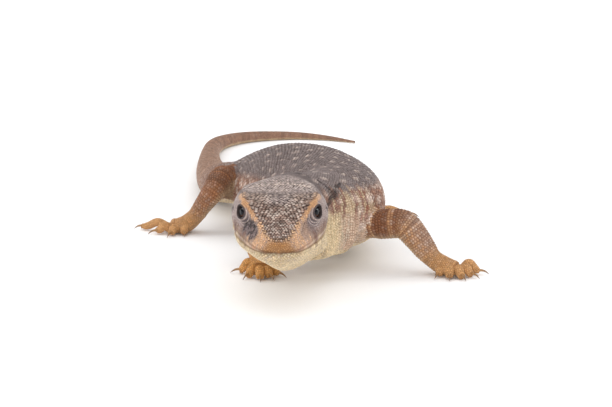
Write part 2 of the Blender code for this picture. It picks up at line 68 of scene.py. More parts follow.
# %% Sections of the head
HEAD_PLACE = np.array((-5.9, 0.0, 15.1))
HEAD_PITCH = math.radians(3.4)
HEAD_COLUMNS = (
    "u", "y", "crown", "brow_w", "brow_z", "cheek_w", "cheek_z",
    "lip_w", "lip_z", "jaw_w", "jaw_z", "chin", "swing",
)
HEAD = (
    (0.0, 0.0, 0.0, 0.0, 0.0, 0.0, 0.0, 0.0, 0.0, 0.0, 0.0, 0.0, 0.0),
    (1.3, 0.15, 1.2, 0.9, 1.0, 1.4, 0.5, 1.5, 0.0, 1.2, -0.6, -1.1, 0.0),
    (2.8, 0.7, 2.4, 2.0, 2.1, 2.9, 1.0, 3.2, 0.0, 2.5, -1.2, -2.2, 0.0),
    (4.6, 1.9, 3.4, 3.0, 3.0, 4.1, 1.5, 4.6, -0.1, 3.6, -1.7, -3.3, 0.0),
    (7.2, 4.2, 4.5, 3.9, 4.0, 5.1, 2.0, 6.0, -0.2, 4.7, -2.2, -4.6, 0.0),
    (10.8, 7.6, 5.7, 4.9, 5.3, 6.2, 2.5, 7.3, -0.4, 5.7, -2.8, -5.9, 0.1),
    (14.0, 10.7, 6.9, 6.1, 6.5, 7.1, 2.9, 8.2, -0.6, 6.6, -3.3, -7.1, 0.4),
    (17.0, 13.6, 7.6, 7.3, 7.2, 8.2, 3.2, 9.0, -0.8, 7.3, -3.7, -8.1, 0.9),
    (22.0, 18.5, 8.1, 8.6, 7.5, 9.9, 3.4, 9.9, -1.0, 8.4, -4.4, -9.4, 2.2),
    (27.5, 24.0, 8.3, 8.9, 7.3, 10.5, 3.2, 10.2, -1.2, 9.2, -5.2, -10.2, 3.8),
    (32.0, 28.5, 8.7, 8.3, 7.2, 10.0, 2.8, 10.0, -1.3, 9.4, -5.8, -10.7, 4.8),
)
SECTION_AT = np.array((0.0, 0.14, 0.29, 0.42, 0.52, 0.67, 0.84, 1.0))
LIP_AT = 0.52
HEAD_END = 34.0  # where the head's scales end and the neck's begin, in mm from the snout

# %% Sections of the neck, trunk and tail: the middle line's x, y and z, half width, reach up and down, swing
BODY_START = 36.5
NECK_END, TAIL_START = 53.0, 128.0
BODY = (
    (-2.8, 35.5, 16.4, 9.6, 9.5, 10.4, 4.4),
    (1.2, 42.0, 15.5, 10.1, 9.2, 9.9, 3.0),
    (4.8, 48.5, 14.7, 11.2, 9.1, 9.5, 1.4),
    (6.4, 55.5, 14.1, 12.3, 9.5, 10.4, 0.4),
    (5.6, 64.0, 13.8, 13.9, 10.0, 11.8, 0.0),
    (3.6, 74.0, 13.3, 15.3, 10.6, 11.2, 0.0),
    (-0.6, 84.0, 13.0, 15.7, 10.8, 10.0, 0.0),
    (-6.2, 93.0, 12.4, 13.4, 9.8, 8.2, 0.0),
    (-11.8, 101.0, 11.2, 10.2, 7.8, 7.0, 0.0),
    (-17.4, 109.0, 9.6, 7.9, 5.2, 6.4, 0.0),
    (-21.6, 118.0, 7.6, 6.5, 5.0, 6.0, 0.0),
    (-24.4, 129.0, 5.9, 5.5, 4.6, 5.4, 0.0),
    (-26.4, 142.0, 4.7, 4.6, 4.2, 4.7, 0.0),
    (-27.8, 157.0, 3.9, 3.7, 3.7, 4.0, 0.0),
    (-28.5, 171.0, 3.3, 3.1, 3.2, 3.4, 0.0),
    (-28.8, 183.5, 2.9, 2.7, 2.8, 3.0, 0.0),
    (-28.4, 195.0, 2.6, 2.4, 2.5, 2.7, 0.0),
    (-25.8, 206.5, 2.2, 2.0, 2.1, 2.3, 0.0),
    (-20.0, 215.2, 1.9, 1.7, 1.8, 2.0, 0.0),
    (-11.4, 220.2, 1.6, 1.4, 1.5, 1.7, 0.0),
    (-1.8, 221.8, 1.3, 1.1, 1.2, 1.4, 0.0),
    (6.8, 219.8, 0.9, 0.8, 0.9, 1.0, 0.0),
    (15.4, 214.8, 0.5, 0.4, 0.5, 0.5, 0.0),
)
SQUARE_ABOVE, SQUARE_BELOW = 1.9, 2.5

# %% Eyes, nostrils, ears and mouth
EYE_PLACE = np.array((6.8, 14.4, 5.5))
EYE_AXIS = np.array((0.88, -0.46, 0.12))
EYE_RADIUS = 2.1
SOCKET_RADIUS = 2.17
LID_RADIUS = 2.72
LID_OPENING = (1.75, 1.45)  # half the eye's opening, along the head and up
NOSTRIL_PLACE = (11.6, 0.36)
NOSTRIL_SIZE = (0.8, 1.0, 0.4)
NOSTRIL_TILT = math.radians(35.0)
EAR_PLACE = (29.2, 0.45)
EAR_SIZE = (1.2, 0.75, 1.5)
MOUTH_CORNER = 22.5
MOUTH_DEPTH = 0.16
MOUTH_WIDTH = 0.16
LIP_SWELL = 0.14
LIP_FROM_MOUTH = 1.1
LIP_WIDTH = 0.7

# %% Swellings and hollows: how high, the place and reach around the body, the place and reach along it
FORMS = {
    "brow": (0.55, 0.29, 0.045, 14.5, 8.5),
    "before_the_eye": (-0.55, 0.38, 0.045, 11.0, 4.0),
    "temple": (0.5, 0.42, 0.11, 26.0, 4.0),
    "jaw_muscle": (0.5, 0.68, 0.14, 25.0, 4.5),
    "crown": (-0.35, 0.0, 0.12, 25.0, 7.0),
    "nape": (0.45, 0.0, 0.16, 33.0, 3.6),
}
THROAT_FOLDS = ((0.6, 46.0, 2.0), (-0.9, 49.0, 1.3))
NECK_FOLD = (-0.5, 40.0, 1.2)
NECK_FOLD_SLANT = 6.0
NECK_FOLD_AT = (0.5, 0.22)
NECK_WRINKLE = (0.13, 1.9, 45.0, 8.0)  # height, spacing, place and reach of the fine wrinkles round the neck

# %% The middle line of each limb: x, y, z, half width and half thickness
LIMBS = {
    "left_arm": (
        (5.0, 55.0, 12.2, 5.0, 4.6),
        (12.6, 49.8, 11.2, 4.5, 4.1),
        (18.2, 46.4, 11.5, 4.0, 3.7),
        (23.4, 44.8, 11.5, 3.7, 3.5),
        (26.0, 44.0, 8.9, 3.4, 3.2),
        (28.2, 43.6, 6.0, 3.1, 2.8),
        (30.2, 43.0, 3.7, 2.7, 2.3),
        (32.6, 42.2, 2.3, 3.0, 2.3),
        (35.4, 41.2, 1.7, 3.1, 1.8),
    ),
    "right_arm": (
        (3.0, 56.6, 12.4, 5.0, 4.6),
        (-4.0, 56.6, 11.8, 4.5, 4.1),
        (-9.0, 55.8, 11.8, 4.0, 3.7),
        (-12.6, 53.8, 10.9, 3.6, 3.4),
        (-12.6, 51.0, 8.4, 3.3, 3.0),
        (-11.8, 48.6, 5.8, 2.9, 2.6),
        (-11.0, 46.4, 3.8, 2.7, 2.3),
        (-10.8, 44.2, 2.3, 3.0, 2.3),
        (-10.6, 41.4, 1.7, 3.1, 1.8),
    ),
    "left_leg": (
        (-12.0, 105.6, 10.6, 5.6, 5.2),
        (-4.4, 105.8, 10.8, 5.2, 5.0),
        (3.0, 102.8, 11.6, 4.5, 4.4),
        (9.4, 99.2, 12.0, 3.8, 3.7),
        (12.0, 99.8, 9.6, 3.2, 3.0),
        (11.6, 102.2, 6.4, 2.6, 2.4),
        (11.4, 104.4, 3.9, 2.5, 2.2),
        (13.8, 105.0, 2.3, 3.1, 2.3),
        (16.6, 105.2, 1.7, 3.3, 1.8),
    ),
    "right_leg": (
        (-12.0, 105.4, 10.4, 5.6, 5.2),
        (-17.6, 100.8, 10.8, 5.2, 5.0),
        (-20.8, 94.8, 11.8, 4.5, 4.4),
        (-22.0, 88.8, 13.0, 3.8, 3.7),
        (-23.8, 85.4, 11.2, 3.2, 3.0),
        (-26.4, 85.8, 7.6, 2.6, 2.4),
        (-28.6, 87.2, 4.3, 2.5, 2.2),
        (-31.0, 87.6, 2.3, 3.1, 2.3),
        (-33.8, 87.6, 1.7, 3.3, 1.8),
    ),
}

# %% Each toe: where it leaves the foot, the tip of its claw, its thickness and its knuckle's arch
TOES = {
    "left_arm": (
        (32.0, 40.6, 30.2, 37.0, 1.05, 0.6),
        (33.8, 39.8, 33.6, 34.8, 1.1, 0.8),
        (35.6, 39.6, 37.4, 34.8, 1.15, 0.9),
        (37.0, 40.4, 40.8, 37.4, 1.15, 1.0),
        (37.0, 42.2, 43.4, 42.0, 1.1, 1.6),
    ),
    "right_arm": (
        (-8.6, 41.4, -4.6, 38.4, 1.05, 0.6),
        (-9.6, 39.8, -7.4, 35.2, 1.1, 0.8),
        (-11.0, 39.4, -10.6, 33.8, 1.15, 0.9),
        (-12.2, 40.4, -14.8, 36.2, 1.15, 1.0),
        (-12.4, 43.0, -18.0, 43.4, 1.1, 1.6),
    ),
    "left_leg": (
        (14.6, 103.0, 17.6, 98.6, 1.1, 0.6),
        (16.6, 102.8, 22.6, 98.4, 1.15, 0.8),
        (18.0, 104.0, 27.0, 101.0, 1.15, 0.9),
        (18.4, 105.6, 30.0, 105.4, 1.15, 0.9),
        (16.4, 107.4, 21.0, 112.0, 1.1, 0.8),
    ),
    "right_leg": (
        (-31.4, 85.6, -31.0, 81.0, 1.05, 0.6),
        (-33.6, 85.0, -35.4, 80.4, 1.1, 0.8),
        (-35.2, 86.2, -40.6, 84.4, 1.15, 0.9),
        (-35.6, 88.0, -44.6, 91.4, 1.1, 1.2),
        (-33.4, 90.0, -36.0, 95.4, 1.05, 0.8),
    ),
}
CLAW_LENGTH = 2.0
CLAW_RADIUS = 0.45
CLAW_GAP = 0.3
TOE_STEPS = (-0.25, 0.0, 0.4, 0.75, 0.92, 1.0)
TOE_SIZES = (1.0, 1.1, 1.1, 1.0, 0.9, 0.8)
TOE_ROOT = 1.5

# %% [markdown]
# ## Reading the tables
#
# `smooth` draws a curve through the rows of a table: between two rows it follows a cubic that leaves each
# with the slope of its neighbours, which is what a bent strip of spring steel would do. `bump` and `step`
# are the two soft switches that the folds and the markings are painted with.

# %% Curves and soft switches
def smooth(knots, rows, at):
    """Reads a table of rows at other places, along a smooth curve through its knots."""
    slopes = np.gradient(rows, knots, axis=0)
    at = np.asarray(at, dtype=float)
    low = np.clip(np.searchsorted(knots, at, side="right") - 1, 0, len(knots) - 2)
    shape = (len(at),) + (1,) * (rows.ndim - 1)
    gap = (knots[low + 1] - knots[low]).reshape(shape)
    t = (at - knots[low]).reshape(shape) / gap
    start = (2 * t**3 - 3 * t**2 + 1) * rows[low] + (t**3 - 2 * t**2 + t) * gap * slopes[low]
    end = (3 * t**2 - 2 * t**3) * rows[low + 1] + (t**3 - t**2) * gap * slopes[low + 1]
    return start + end


def unit(vectors):
    return vectors / np.maximum(np.linalg.norm(vectors, axis=-1, keepdims=True), 1e-9)


def lengths(points):
    """How far along a line of points each of them lies."""
    return np.concatenate(((0.0,), np.cumsum(np.linalg.norm(np.diff(points, axis=0), axis=1))))


def bump(distance, reach):
    """1 in the middle, falling smoothly to nothing a little past reach."""
    return np.exp(-((distance / reach) ** 2))


def step(low, high, value):
    """0 below low, 1 above high and a smooth rise between them."""
    t = np.clip((value - low) / (high - low), 0.0, 1.0)
    return t * t * (3.0 - 2.0 * t)


# %% [markdown]
# ## One surface from snout to tail
#
# Two numbers name every place on it. `u` runs back along the body in millimetres, and `v` runs round it: 0
# on the crown and back, 1 and -1 beneath, positive on the animal's left. Lids, rows of scales and markings
# are all placed by them, the way a map uses longitude and latitude.

# %% The head's sections
def head_to_body(points):
    """From the head's frame to the animal's."""
    cos, sin = math.cos(HEAD_PITCH), math.sin(HEAD_PITCH)
    turn = np.array(((1.0, 0.0, 0.0), (0.0, cos, -sin), (0.0, sin, cos)))
    return points @ turn.T + HEAD_PLACE


def under(around):
    """0 on the back and sides, growing to 1 beneath."""
    return step(0.5, 1.0, np.abs(around))


def head_ring(row, around):
    size = dict(zip(HEAD_COLUMNS, row))
    half = np.array((
        (0.0, size["crown"]),
        (0.55 * size["brow_w"], 0.15 * size["brow_z"] + 0.85 * size["crown"]),
        (size["brow_w"], size["brow_z"]),
        (size["cheek_w"], size["cheek_z"]),
        (size["lip_w"], size["lip_z"]),
        (size["jaw_w"], size["jaw_z"]),
        (0.46 * size["jaw_w"], 0.38 * size["jaw_z"] + 0.62 * size["chin"]),
        (0.0, size["chin"]),
    ))
    other = half * (-1.0, 1.0)
    knots = np.concatenate((-SECTION_AT[3:0:-1], SECTION_AT, 2.0 - SECTION_AT[-2:-5:-1]))
    rows = np.concatenate((other[3:0:-1], half, other[-2:-5:-1]))
    section = smooth(knots, rows, np.abs(around))
    across = section[:, 0] * np.where(np.asarray(around) < 0.0, -1.0, 1.0) + size["swing"] * under(around)
    return head_to_body(np.stack((across, np.full(len(around), size["y"]), section[:, 1]), axis=1))


# %% The body's sections, and the smooth surface through all of them
def body_ring(row, heading, around):
    x, y, z, half_width, up, down, swing = row
    angle = np.asarray(around) * math.pi
    across, upward = np.sin(angle), np.cos(angle)
    square = np.where(upward > 0.0, SQUARE_ABOVE, SQUARE_BELOW)
    across = half_width * np.sign(across) * np.abs(across) ** (2.0 / square) + swing * under(around)
    height = z + np.where(upward > 0.0, up, down) * np.sign(upward) * np.abs(upward) ** (2.0 / square)
    return np.stack((x + across * heading[1], y - across * heading[0], height), axis=1)


HEADINGS = unit(np.gradient(np.array(BODY)[:, :2], axis=0))
STATIONS = np.concatenate(([row[0] for row in HEAD], BODY_START + lengths(np.array(BODY)[:, :2])))
TAIL_TIP = STATIONS[-1]


def body_points(along, around):
    rings = [head_ring(row, around) for row in HEAD]
    rings += [body_ring(row, heading, around) for row, heading in zip(BODY, HEADINGS)]
    return smooth(STATIONS, np.array(rings), along)


def girths():
    """Half the way round the body at each station."""
    grid = body_points(STATIONS, np.linspace(0.0, 1.0, 60))
    return np.linalg.norm(np.diff(grid, axis=1), axis=2).sum(axis=1)


GIRTHS = girths()
print("from snout to tail tip:", round(TAIL_TIP, 1), "mm, widest girth:", round(2 * GIRTHS.max(), 1), "mm")


# %% Folds and grooves
def relief(along, around):
    """How far the skin stands out of the plain surface, or sinks into it."""
    u, v = np.meshgrid(along, np.abs(around), indexing="ij")
    from_lip = (v - LIP_AT) * np.interp(u, STATIONS, GIRTHS)
    closed = np.clip((MOUTH_CORNER - u) / 1.5, 0.0, 1.0)
    lips = LIP_SWELL * bump(np.abs(from_lip) - LIP_FROM_MOUTH, LIP_WIDTH)
    mouth = MOUTH_DEPTH * bump(from_lip, MOUTH_WIDTH)
    forms = 0.0
    for high, around_at, around_reach, along_at, along_reach in FORMS.values():
        forms = forms + high * bump(v - around_at, around_reach) * bump(u - along_at, along_reach)
    below = np.clip((v - 0.45) / 0.2, 0.0, 1.0)
    for high, along_at, along_reach in THROAT_FOLDS:
        forms = forms + below * high * bump(u - along_at, along_reach)
    high, along_at, along_reach = NECK_FOLD
    at_the_side = bump(v - NECK_FOLD_AT[0], NECK_FOLD_AT[1])
    forms = forms + high * bump(u - along_at - NECK_FOLD_SLANT * v, along_reach) * at_the_side
    high, spacing, along_at, along_reach = NECK_WRINKLE
    wrinkles = high * np.sin(2.0 * math.pi * (u - NECK_FOLD_SLANT * v) / spacing)
    forms = forms + wrinkles * at_the_side * bump(u - along_at, along_reach)
    behind_the_tip = np.clip(u / 3.0, 0.0, 1.0)
    return closed * (lips - mouth) + behind_the_tip * forms


NUDGE = 0.02


def skin_points(along, around, grow=0.0):
    """The surface with its folds, moved out by grow, and the way out of it at each point."""
    along, around = np.asarray(along, dtype=float), np.asarray(around, dtype=float)
    back = body_points(along + NUDGE, around) - body_points(np.maximum(along - NUDGE, 0.0), around)
    down = body_points(along, around + 0.1 * NUDGE) - body_points(along, around - 0.1 * NUDGE)
    outward = unit(np.cross(down, back))
    outward[along < NUDGE] = (0.0, -1.0, 0.0)
    points = body_points(along, around) + outward * (relief(along, around) + grow)[..., None]
    points[..., 2] = np.maximum(points[..., 2], -grow)
    return points, outward


# %% Limbs and toes are tubes round a bent middle line
def limb_points(rows, along, around, grow=0.0):
    """A tube along a limb's stations, as a grid of points. Its far end lies level."""
    rows = np.array(rows, dtype=float)
    reach = lengths(rows[:, :3])
    fine = np.linspace(0.0, reach[-1], 81)
    ways = unit(np.gradient(smooth(reach, rows[:, :3], fine), axis=0))
    sides = [np.cross(ways[-1], (0.0, 0.0, 1.0))]
    for way in ways[::-1]:
        sides.append(unit(sides[-1] - np.dot(sides[-1], way) * way))
    sides = np.array(sides[:0:-1])
    way = unit(np.stack([np.interp(along, fine, ways[:, axis]) for axis in range(3)], axis=1))
    side = np.stack([np.interp(along, fine, sides[:, axis]) for axis in range(3)], axis=1)
    side = unit(side - (side * way).sum(axis=1, keepdims=True) * way)
    top = np.cross(side, way)
    found = smooth(reach, rows, along)
    angle = np.asarray(around) * math.pi
    across = np.sin(angle)[None, :, None] * (found[:, 3] + grow)[:, None, None] * side[:, None]
    upward = np.cos(angle)[None, :, None] * (found[:, 4] + grow)[:, None, None] * top[:, None]
    return found[:, None, :3] + across + upward


def toe_rows(toe):
    """Stations of a toe, from inside the foot over its knuckle to where the claw starts."""
    base, tip, (thickness, arch) = np.array(toe[:2]), np.array(toe[2:4]), toe[4:]
    length = np.linalg.norm(tip - base) - CLAW_LENGTH - CLAW_GAP
    knuckle = thickness * np.array((1.0 + arch, 0.65 + 0.45 * arch, 0.85, 0.8))
    heights = (TOE_ROOT, TOE_ROOT, *knuckle)
    places = base + np.array(TOE_STEPS)[:, None] * length * unit(tip - base)
    sizes = [thickness * size for size in TOE_SIZES]
    return [(x, y, z, size, size) for (x, y), z, size in zip(places, heights, sizes)]


def length_of(rows):
    return lengths(np.array(rows)[:, :3])[-1]


# %% [markdown]
# ## Building blocks for meshes
#
# A tube is a loft: rings of points joined by four-sided faces, with a fan at each end. Tubes that grow out
# of each other are joined by Blender's Boolean modifier, whose Manifold solver is quick and exact on closed
# meshes. Metaballs or a voxel remesh could fuse them too, but would blur the lids and the line of the mouth.

# %% Lofts and balls
def loft(grid):
    """Vertices and faces of a tube through a grid of rings, with its ends closed."""
    rings, around = grid.shape[:2]
    index = np.arange(rings * around).reshape(rings, around)
    after = np.roll(index, -1, axis=1)
    faces = np.stack((index[:-1], after[:-1], after[1:], index[1:]), axis=2).reshape(-1, 4).tolist()
    points = list(grid.reshape(-1, 3))
    for ring in (0, rings - 1):
        hub = len(points)
        points.append(grid[ring].mean(axis=0))
        faces += [(hub, int(a), int(b)) for a, b in zip(index[ring], after[ring])]
    return points, faces


def ball(centre, axes, radii, segments, rings):
    """An ellipsoid, its axes given as rows and its poles on the first."""
    sphere = bmesh.new()
    bmesh.ops.create_uvsphere(sphere, u_segments=segments, v_segments=rings, radius=1.0)
    points = [centre + (np.array(vert.co.zxy) * radii) @ axes for vert in sphere.verts]
    faces = [tuple(vert.index for vert in face.verts) for face in sphere.faces]
    sphere.free()
    return points, faces


def several(shapes):
    points, faces = [], []
    for more_points, more_faces in shapes:
        faces += [tuple(len(points) + index for index in face) for face in more_faces]
        points += list(more_points)
    return points, faces


def axes_from(out, along):
    """Three unit axes as rows: out, as near to along as can be, and across both."""
    out = unit(out)
    along = unit(along - np.dot(along, out) * out)
    return np.array((out, along, np.cross(out, along)))


# %% From millimetres round the snout to a mesh in metres, closed and facing outwards
def to_metres(points):
    return (np.asarray(points) - SHIFT) * MM


def in_millimetres(vertices):
    return np.array([vert.co for vert in vertices]) / MM + SHIFT


def new_object(name, shape, slot=0):
    """A mesh object whose faces all have that material slot."""
    points, faces = shape
    mesh = bpy.data.meshes.new(name)
    mesh.from_pydata(to_metres(points).tolist(), [], faces)
    shaped = bmesh.new()
    shaped.from_mesh(mesh)
    bmesh.ops.remove_doubles(shaped, verts=shaped.verts, dist=2e-6)
    bmesh.ops.recalc_face_normals(shaped, faces=shaped.faces)
    for face in shaped.faces:
        face.material_index = slot
    shaped.to_mesh(mesh)
    shaped.free()
    made = bpy.data.objects.new(name, mesh)
    bpy.context.scene.collection.objects.link(made)
    return made


def take(target, other, operation="DIFFERENCE"):
    """Joins another object to this one, or takes it away, and removes it."""
    cut = target.modifiers.new("boolean", "BOOLEAN")
    cut.operation = operation
    cut.object = other
    cut.solver = "MANIFOLD"
    whole = bpy.data.meshes.new_from_object(target.evaluated_get(bpy.context.evaluated_depsgraph_get()))
    target.modifiers.clear()
    target.data = whole
    bpy.data.objects.remove(other)


# %% [markdown]
# ## The skin
#
# The body's tube is closest-meshed on the head, where the eye looks first. Each limb is a tube with five
# more for its toes. The faces keep a number that says what they came from: body, limb, toe or lid. Where
# two numbers meet there is a crease, and a crease in living skin is soft, so the points near it are eased.

# %% What each face of the skin came from
FROM_BODY, FROM_LIMB, FROM_TOE, FROM_LID, FROM_CUT = range(5)


def spaced(*runs):
    """Places in runs of (start, end, spacing), and the last end."""
    places = [np.linspace(low, high, round((high - low) / gap), endpoint=False) for low, high, gap in runs]
    return np.concatenate(places + [(runs[-1][1],)])


half = spaced((0.0, 0.28, 0.02), (0.28, 0.6, 0.01), (0.6, 1.0, 0.022))
SKIN_AROUND = np.concatenate((-half[-2:0:-1], half))
SKIN_ALONG = spaced(
    (0.0, 2.0, 0.16), (2.0, HEAD_END, 0.3), (HEAD_END, NECK_END, 0.5), (NECK_END, TAIL_START, 0.9),
    (TAIL_START, TAIL_TIP, 1.2),
)
skin = new_object("savannah_monitor_skin", loft(skin_points(SKIN_ALONG, SKIN_AROUND, -SKIN_DEPTH)[0]))
for part in range(FROM_CUT + 1):
    skin.data.materials.append(bpy.data.materials.new(f"from_{part}"))
print("rings:", len(SKIN_ALONG), "columns:", len(SKIN_AROUND))


# %% Each limb with its toes, cut level at the sole
def ring_places(count):
    return np.linspace(-1.0, 1.0, count, endpoint=False)


def tube(rows, spacing, around):
    reach = length_of(rows)
    places = np.linspace(0.0, reach, max(6, round(reach / spacing)))
    return loft(limb_points(rows, places, ring_places(around), -SKIN_DEPTH))


def slab():
    """The space under the floor, as far as the skin of a sole reaches down."""
    cube = bmesh.new()
    bmesh.ops.create_cube(cube, size=1.0)
    size, middle = (200.0, 400.0, 20.0), (0.0, 100.0, SKIN_DEPTH - 10.0)
    points = [np.array(vert.co) * size + middle for vert in cube.verts]
    faces = [tuple(vert.index for vert in face.verts) for face in cube.faces]
    cube.free()
    return points, faces


for name, rows in LIMBS.items():
    limb = new_object(name, tube(rows, 0.6, 40), FROM_LIMB)
    for part in range(FROM_CUT + 1):
        limb.data.materials.append(skin.data.materials[part])
    for toe in TOES[name]:
        take(limb, new_object("toe", tube(toe_rows(toe), 0.3, 20), FROM_TOE), "UNION")
    take(limb, new_object("floor_block", slab(), FROM_LIMB))
    take(skin, limb, "UNION")


# %% Lids round the eyes, the eyes' openings, the nostrils and the ears
def eye_frame(side):
    """An eye's centre and its three axes: out, back along the head, and up."""
    axis = head_to_body(EYE_AXIS * (side, 1.0, 1.0)) - HEAD_PLACE
    axes = axes_from(axis, np.array((0.0, 1.0, 0.0)))
    axes[2] *= math.copysign(1.0, axes[2, 2])
    return head_to_body(EYE_PLACE * (side, 1.0, 1.0)), axes


def eye_ball(side, radii, out_by=0.0, segments=48, rings=32):
    centre, axes = eye_frame(side)
    return ball(centre + out_by * axes[0], axes, radii, segments, rings)


def pit(side, place, radii, tilt=0.0):
    """An ellipsoid half in the head's skin, its radii inwards, along the head and across that."""
    points, outward = skin_points((place[0],), (side * place[1],))
    back = np.array((0.0, math.cos(tilt), math.sin(tilt)))
    return ball(points[0, 0], axes_from(outward[0, 0], back), radii, 24, 16)


SIDES = (-1.0, 1.0)
opening = (EYE_RADIUS, *LID_OPENING)
lids = several([eye_ball(side, (LID_RADIUS,) * 3) for side in SIDES])
take(skin, new_object("lids", lids, FROM_LID), "UNION")
for shapes in (
    [eye_ball(side, (SOCKET_RADIUS,) * 3) for side in SIDES],
    [eye_ball(side, opening, EYE_RADIUS) for side in SIDES],
    [pit(side, NOSTRIL_PLACE, NOSTRIL_SIZE, NOSTRIL_TILT) for side in SIDES],
    [pit(side, EAR_PLACE, EAR_SIZE) for side in SIDES],
):
    take(skin, new_object("cut", several(shapes), FROM_CUT))
print("skin:", len(skin.data.vertices), "points")

# %% [markdown]
# ## Easing the creases
#
# Near a crease each point moves a little towards the middle of its neighbours, again and again, which is
# how a sculptor's smooth brush works. How far from the crease it still acts is set for each kind: wide
# where a thigh leaves the trunk, narrow round a lid. The rings of fine folds that a monitor has round its
# eyes are pressed in afterwards, on a closer mesh.


# %% Closer mesh round the eyes
def eye_distance(points, side):
    """How far points are from an eye's axis, in openings, ahead of it, in mm, and towards the brow."""
    centre, axes = eye_frame(side)
    ahead, back, height = ((points - centre) @ axes.T).T
    back, height = back / LID_OPENING[0], height / LID_OPENING[1]
    return np.hypot(back, height), ahead, height + BROW_SLOPE * np.maximum(-back, 0.0)


BROW_SLOPE = 0.45  # the brow comes down in front of the eye
FOLD_FIELD = 3.2  # openings round an eye that its folds reach
shaped = bmesh.new()
shaped.from_mesh(skin.data)
bmesh.ops.triangulate(shaped, faces=shaped.faces)
places = in_millimetres(shaped.verts)
near = np.zeros(len(places), dtype=bool)
for side in SIDES:
    around_eye, ahead, _ = eye_distance(places, side)
    near |= (around_eye < FOLD_FIELD) & (ahead > -1.0)
edges = [edge for edge in shaped.edges if near[edge.verts[0].index] and near[edge.verts[1].index]]
bmesh.ops.subdivide_edges(shaped, edges=edges, cuts=1, use_grid_fill=True)
bmesh.ops.triangulate(shaped, faces=shaped.faces)
shaped.to_mesh(skin.data)
shaped.free()

# %% The skin as arrays
RAW = in_millimetres(skin.data.vertices)
TRIANGLES = np.array([face.vertices for face in skin.data.polygons])
ORIGIN = np.array([face.material_index for face in skin.data.polygons])
EDGES = np.array([edge.vertices for edge in skin.data.edges])
NEIGHBOURS = np.maximum(np.bincount(EDGES.ravel(), minlength=len(RAW)), 1)


def crease_points(one, other):
    """The points where faces from one part meet faces from another."""
    touched = [np.zeros(len(RAW), dtype=bool) for _ in range(2)]
    for flags, part in zip(touched, (one, other)):
        flags[TRIANGLES[ORIGIN == part].ravel()] = True
    return RAW[touched[0] & touched[1]]


def distance_to(places, reach):
    """How far each point of the skin is from the nearest of some places, up to reach."""
    tree = KDTree(len(places))
    for index, place in enumerate(places):
        tree.insert(place, index)
    tree.balance()
    low, high = places.min(axis=0) - reach, places.max(axis=0) + reach
    found = np.full(len(RAW), reach)
    for index in np.flatnonzero(np.all((RAW > low) & (RAW < high), axis=1)):
        found[index] = min(reach, tree.find(RAW[index])[2])
    return found


def ease(points, weight, rounds):
    """Moves points towards the middle of their neighbours, by their weight."""
    for _ in range(rounds):
        total = np.zeros_like(points)
        for axis in range(3):
            total[:, axis] += np.bincount(EDGES[:, 0], points[EDGES[:, 1], axis], len(points))
            total[:, axis] += np.bincount(EDGES[:, 1], points[EDGES[:, 0], axis], len(points))
        points = points + weight[:, None] * (total / NEIGHBOURS[:, None] - points)
    return points


CREASES = (
    (FROM_BODY, FROM_LIMB, 3.4, 30),
    (FROM_LIMB, FROM_TOE, 0.7, 8),
    (FROM_BODY, FROM_LID, 0.5, 6),
)
SOFT = RAW
for one, other, reach, rounds in CREASES:
    away = distance_to(crease_points(one, other), reach)
    SOFT = ease(SOFT, 0.6 * (1.0 - step(0.3 * reach, reach, away)), rounds)
print("eased by up to", round(np.linalg.norm(SOFT - RAW, axis=1).max(), 2), "mm")


# %% The way out of a mesh at each of its points
def normals_of(points, triangles):
    corners = points[triangles]
    facing = np.cross(corners[:, 1] - corners[:, 0], corners[:, 2] - corners[:, 0])
    total = np.zeros_like(points)
    for corner in range(3):
        for axis in range(3):
            total[:, axis] += np.bincount(triangles[:, corner], facing[:, axis], len(points))
    return unit(total)


# %% Rings of fine folds round the eyes, deeper below and behind them
FOLD_HEIGHT = 0.1
FOLD_START, FOLD_SPACING = 1.26, 0.4  # the first crest and the distance between crests, in openings
is_cut = np.zeros(len(RAW), dtype=bool)
is_cut[TRIANGLES[ORIGIN == FROM_CUT].ravel()] = True
SOFT_OUT = normals_of(SOFT, TRIANGLES)
for side in SIDES:
    around_eye, ahead, _ = eye_distance(SOFT, side)
    field = step(1.15, 1.5, around_eye) * (1.0 - step(0.6 * FOLD_FIELD, FOLD_FIELD, around_eye))
    field = field * (ahead > -0.6) * ~is_cut
    fold = FOLD_HEIGHT * np.cos(2.0 * math.pi * (around_eye - FOLD_START) / FOLD_SPACING)
    SOFT = SOFT + SOFT_OUT * (field * fold)[:, None]
SOFT_OUT = normals_of(SOFT, TRIANGLES)
SOFT_TREE = BVHTree.FromPolygons(SOFT.tolist(), TRIANGLES.tolist())
RAW_TREE = BVHTree.FromPolygons(RAW.tolist(), TRIANGLES.tolist())
skin.data.vertices.foreach_set("co", to_metres(SOFT).astype(np.float32).ravel())
skin.data.update()

# %% [markdown]
# ## Where scales grow
#
# On a monitor the scales stand in rings across the body, each ring set half a scale on from the last, like
# bricks. How many fit in a ring follows its girth. Poisson scatter would be quicker to write, but it has no
# rows, and the rows are what make a reptile. `Wrap` reads any place on a tube from a fine grid of it.


# %% A tube that can be read at any place
class Wrap:
    """The surface of a tube, sampled finely along and around it."""

    def __init__(self, along, points_at):
        self.along = np.asarray(along)
        self.around = np.linspace(-1.0, 1.0, 241)
        self.points = points_at(self.along, self.around)
        self.back = np.gradient(self.points, self.along, axis=0)

    def read(self, values, u, v):
        """Values of the grid at places u along and v around."""
        row = np.interp(u, self.along, np.arange(len(self.along)))
        column = ((v + 1.0) % 2.0) / 2.0 * (len(self.around) - 1)
        i = np.clip(row.astype(int), 0, len(self.along) - 2)
        j = np.clip(column.astype(int), 0, len(self.around) - 2)
        a, b = (row - i)[:, None], (column - j)[:, None]
        near = values[i, j] * (1.0 - b) + values[i, j + 1] * b
        far = values[i + 1, j] * (1.0 - b) + values[i + 1, j + 1] * b
        return near * (1.0 - a) + far * a


TIGHT = 0.5  # how short a scale's place may become inside a bend, beside its proper length


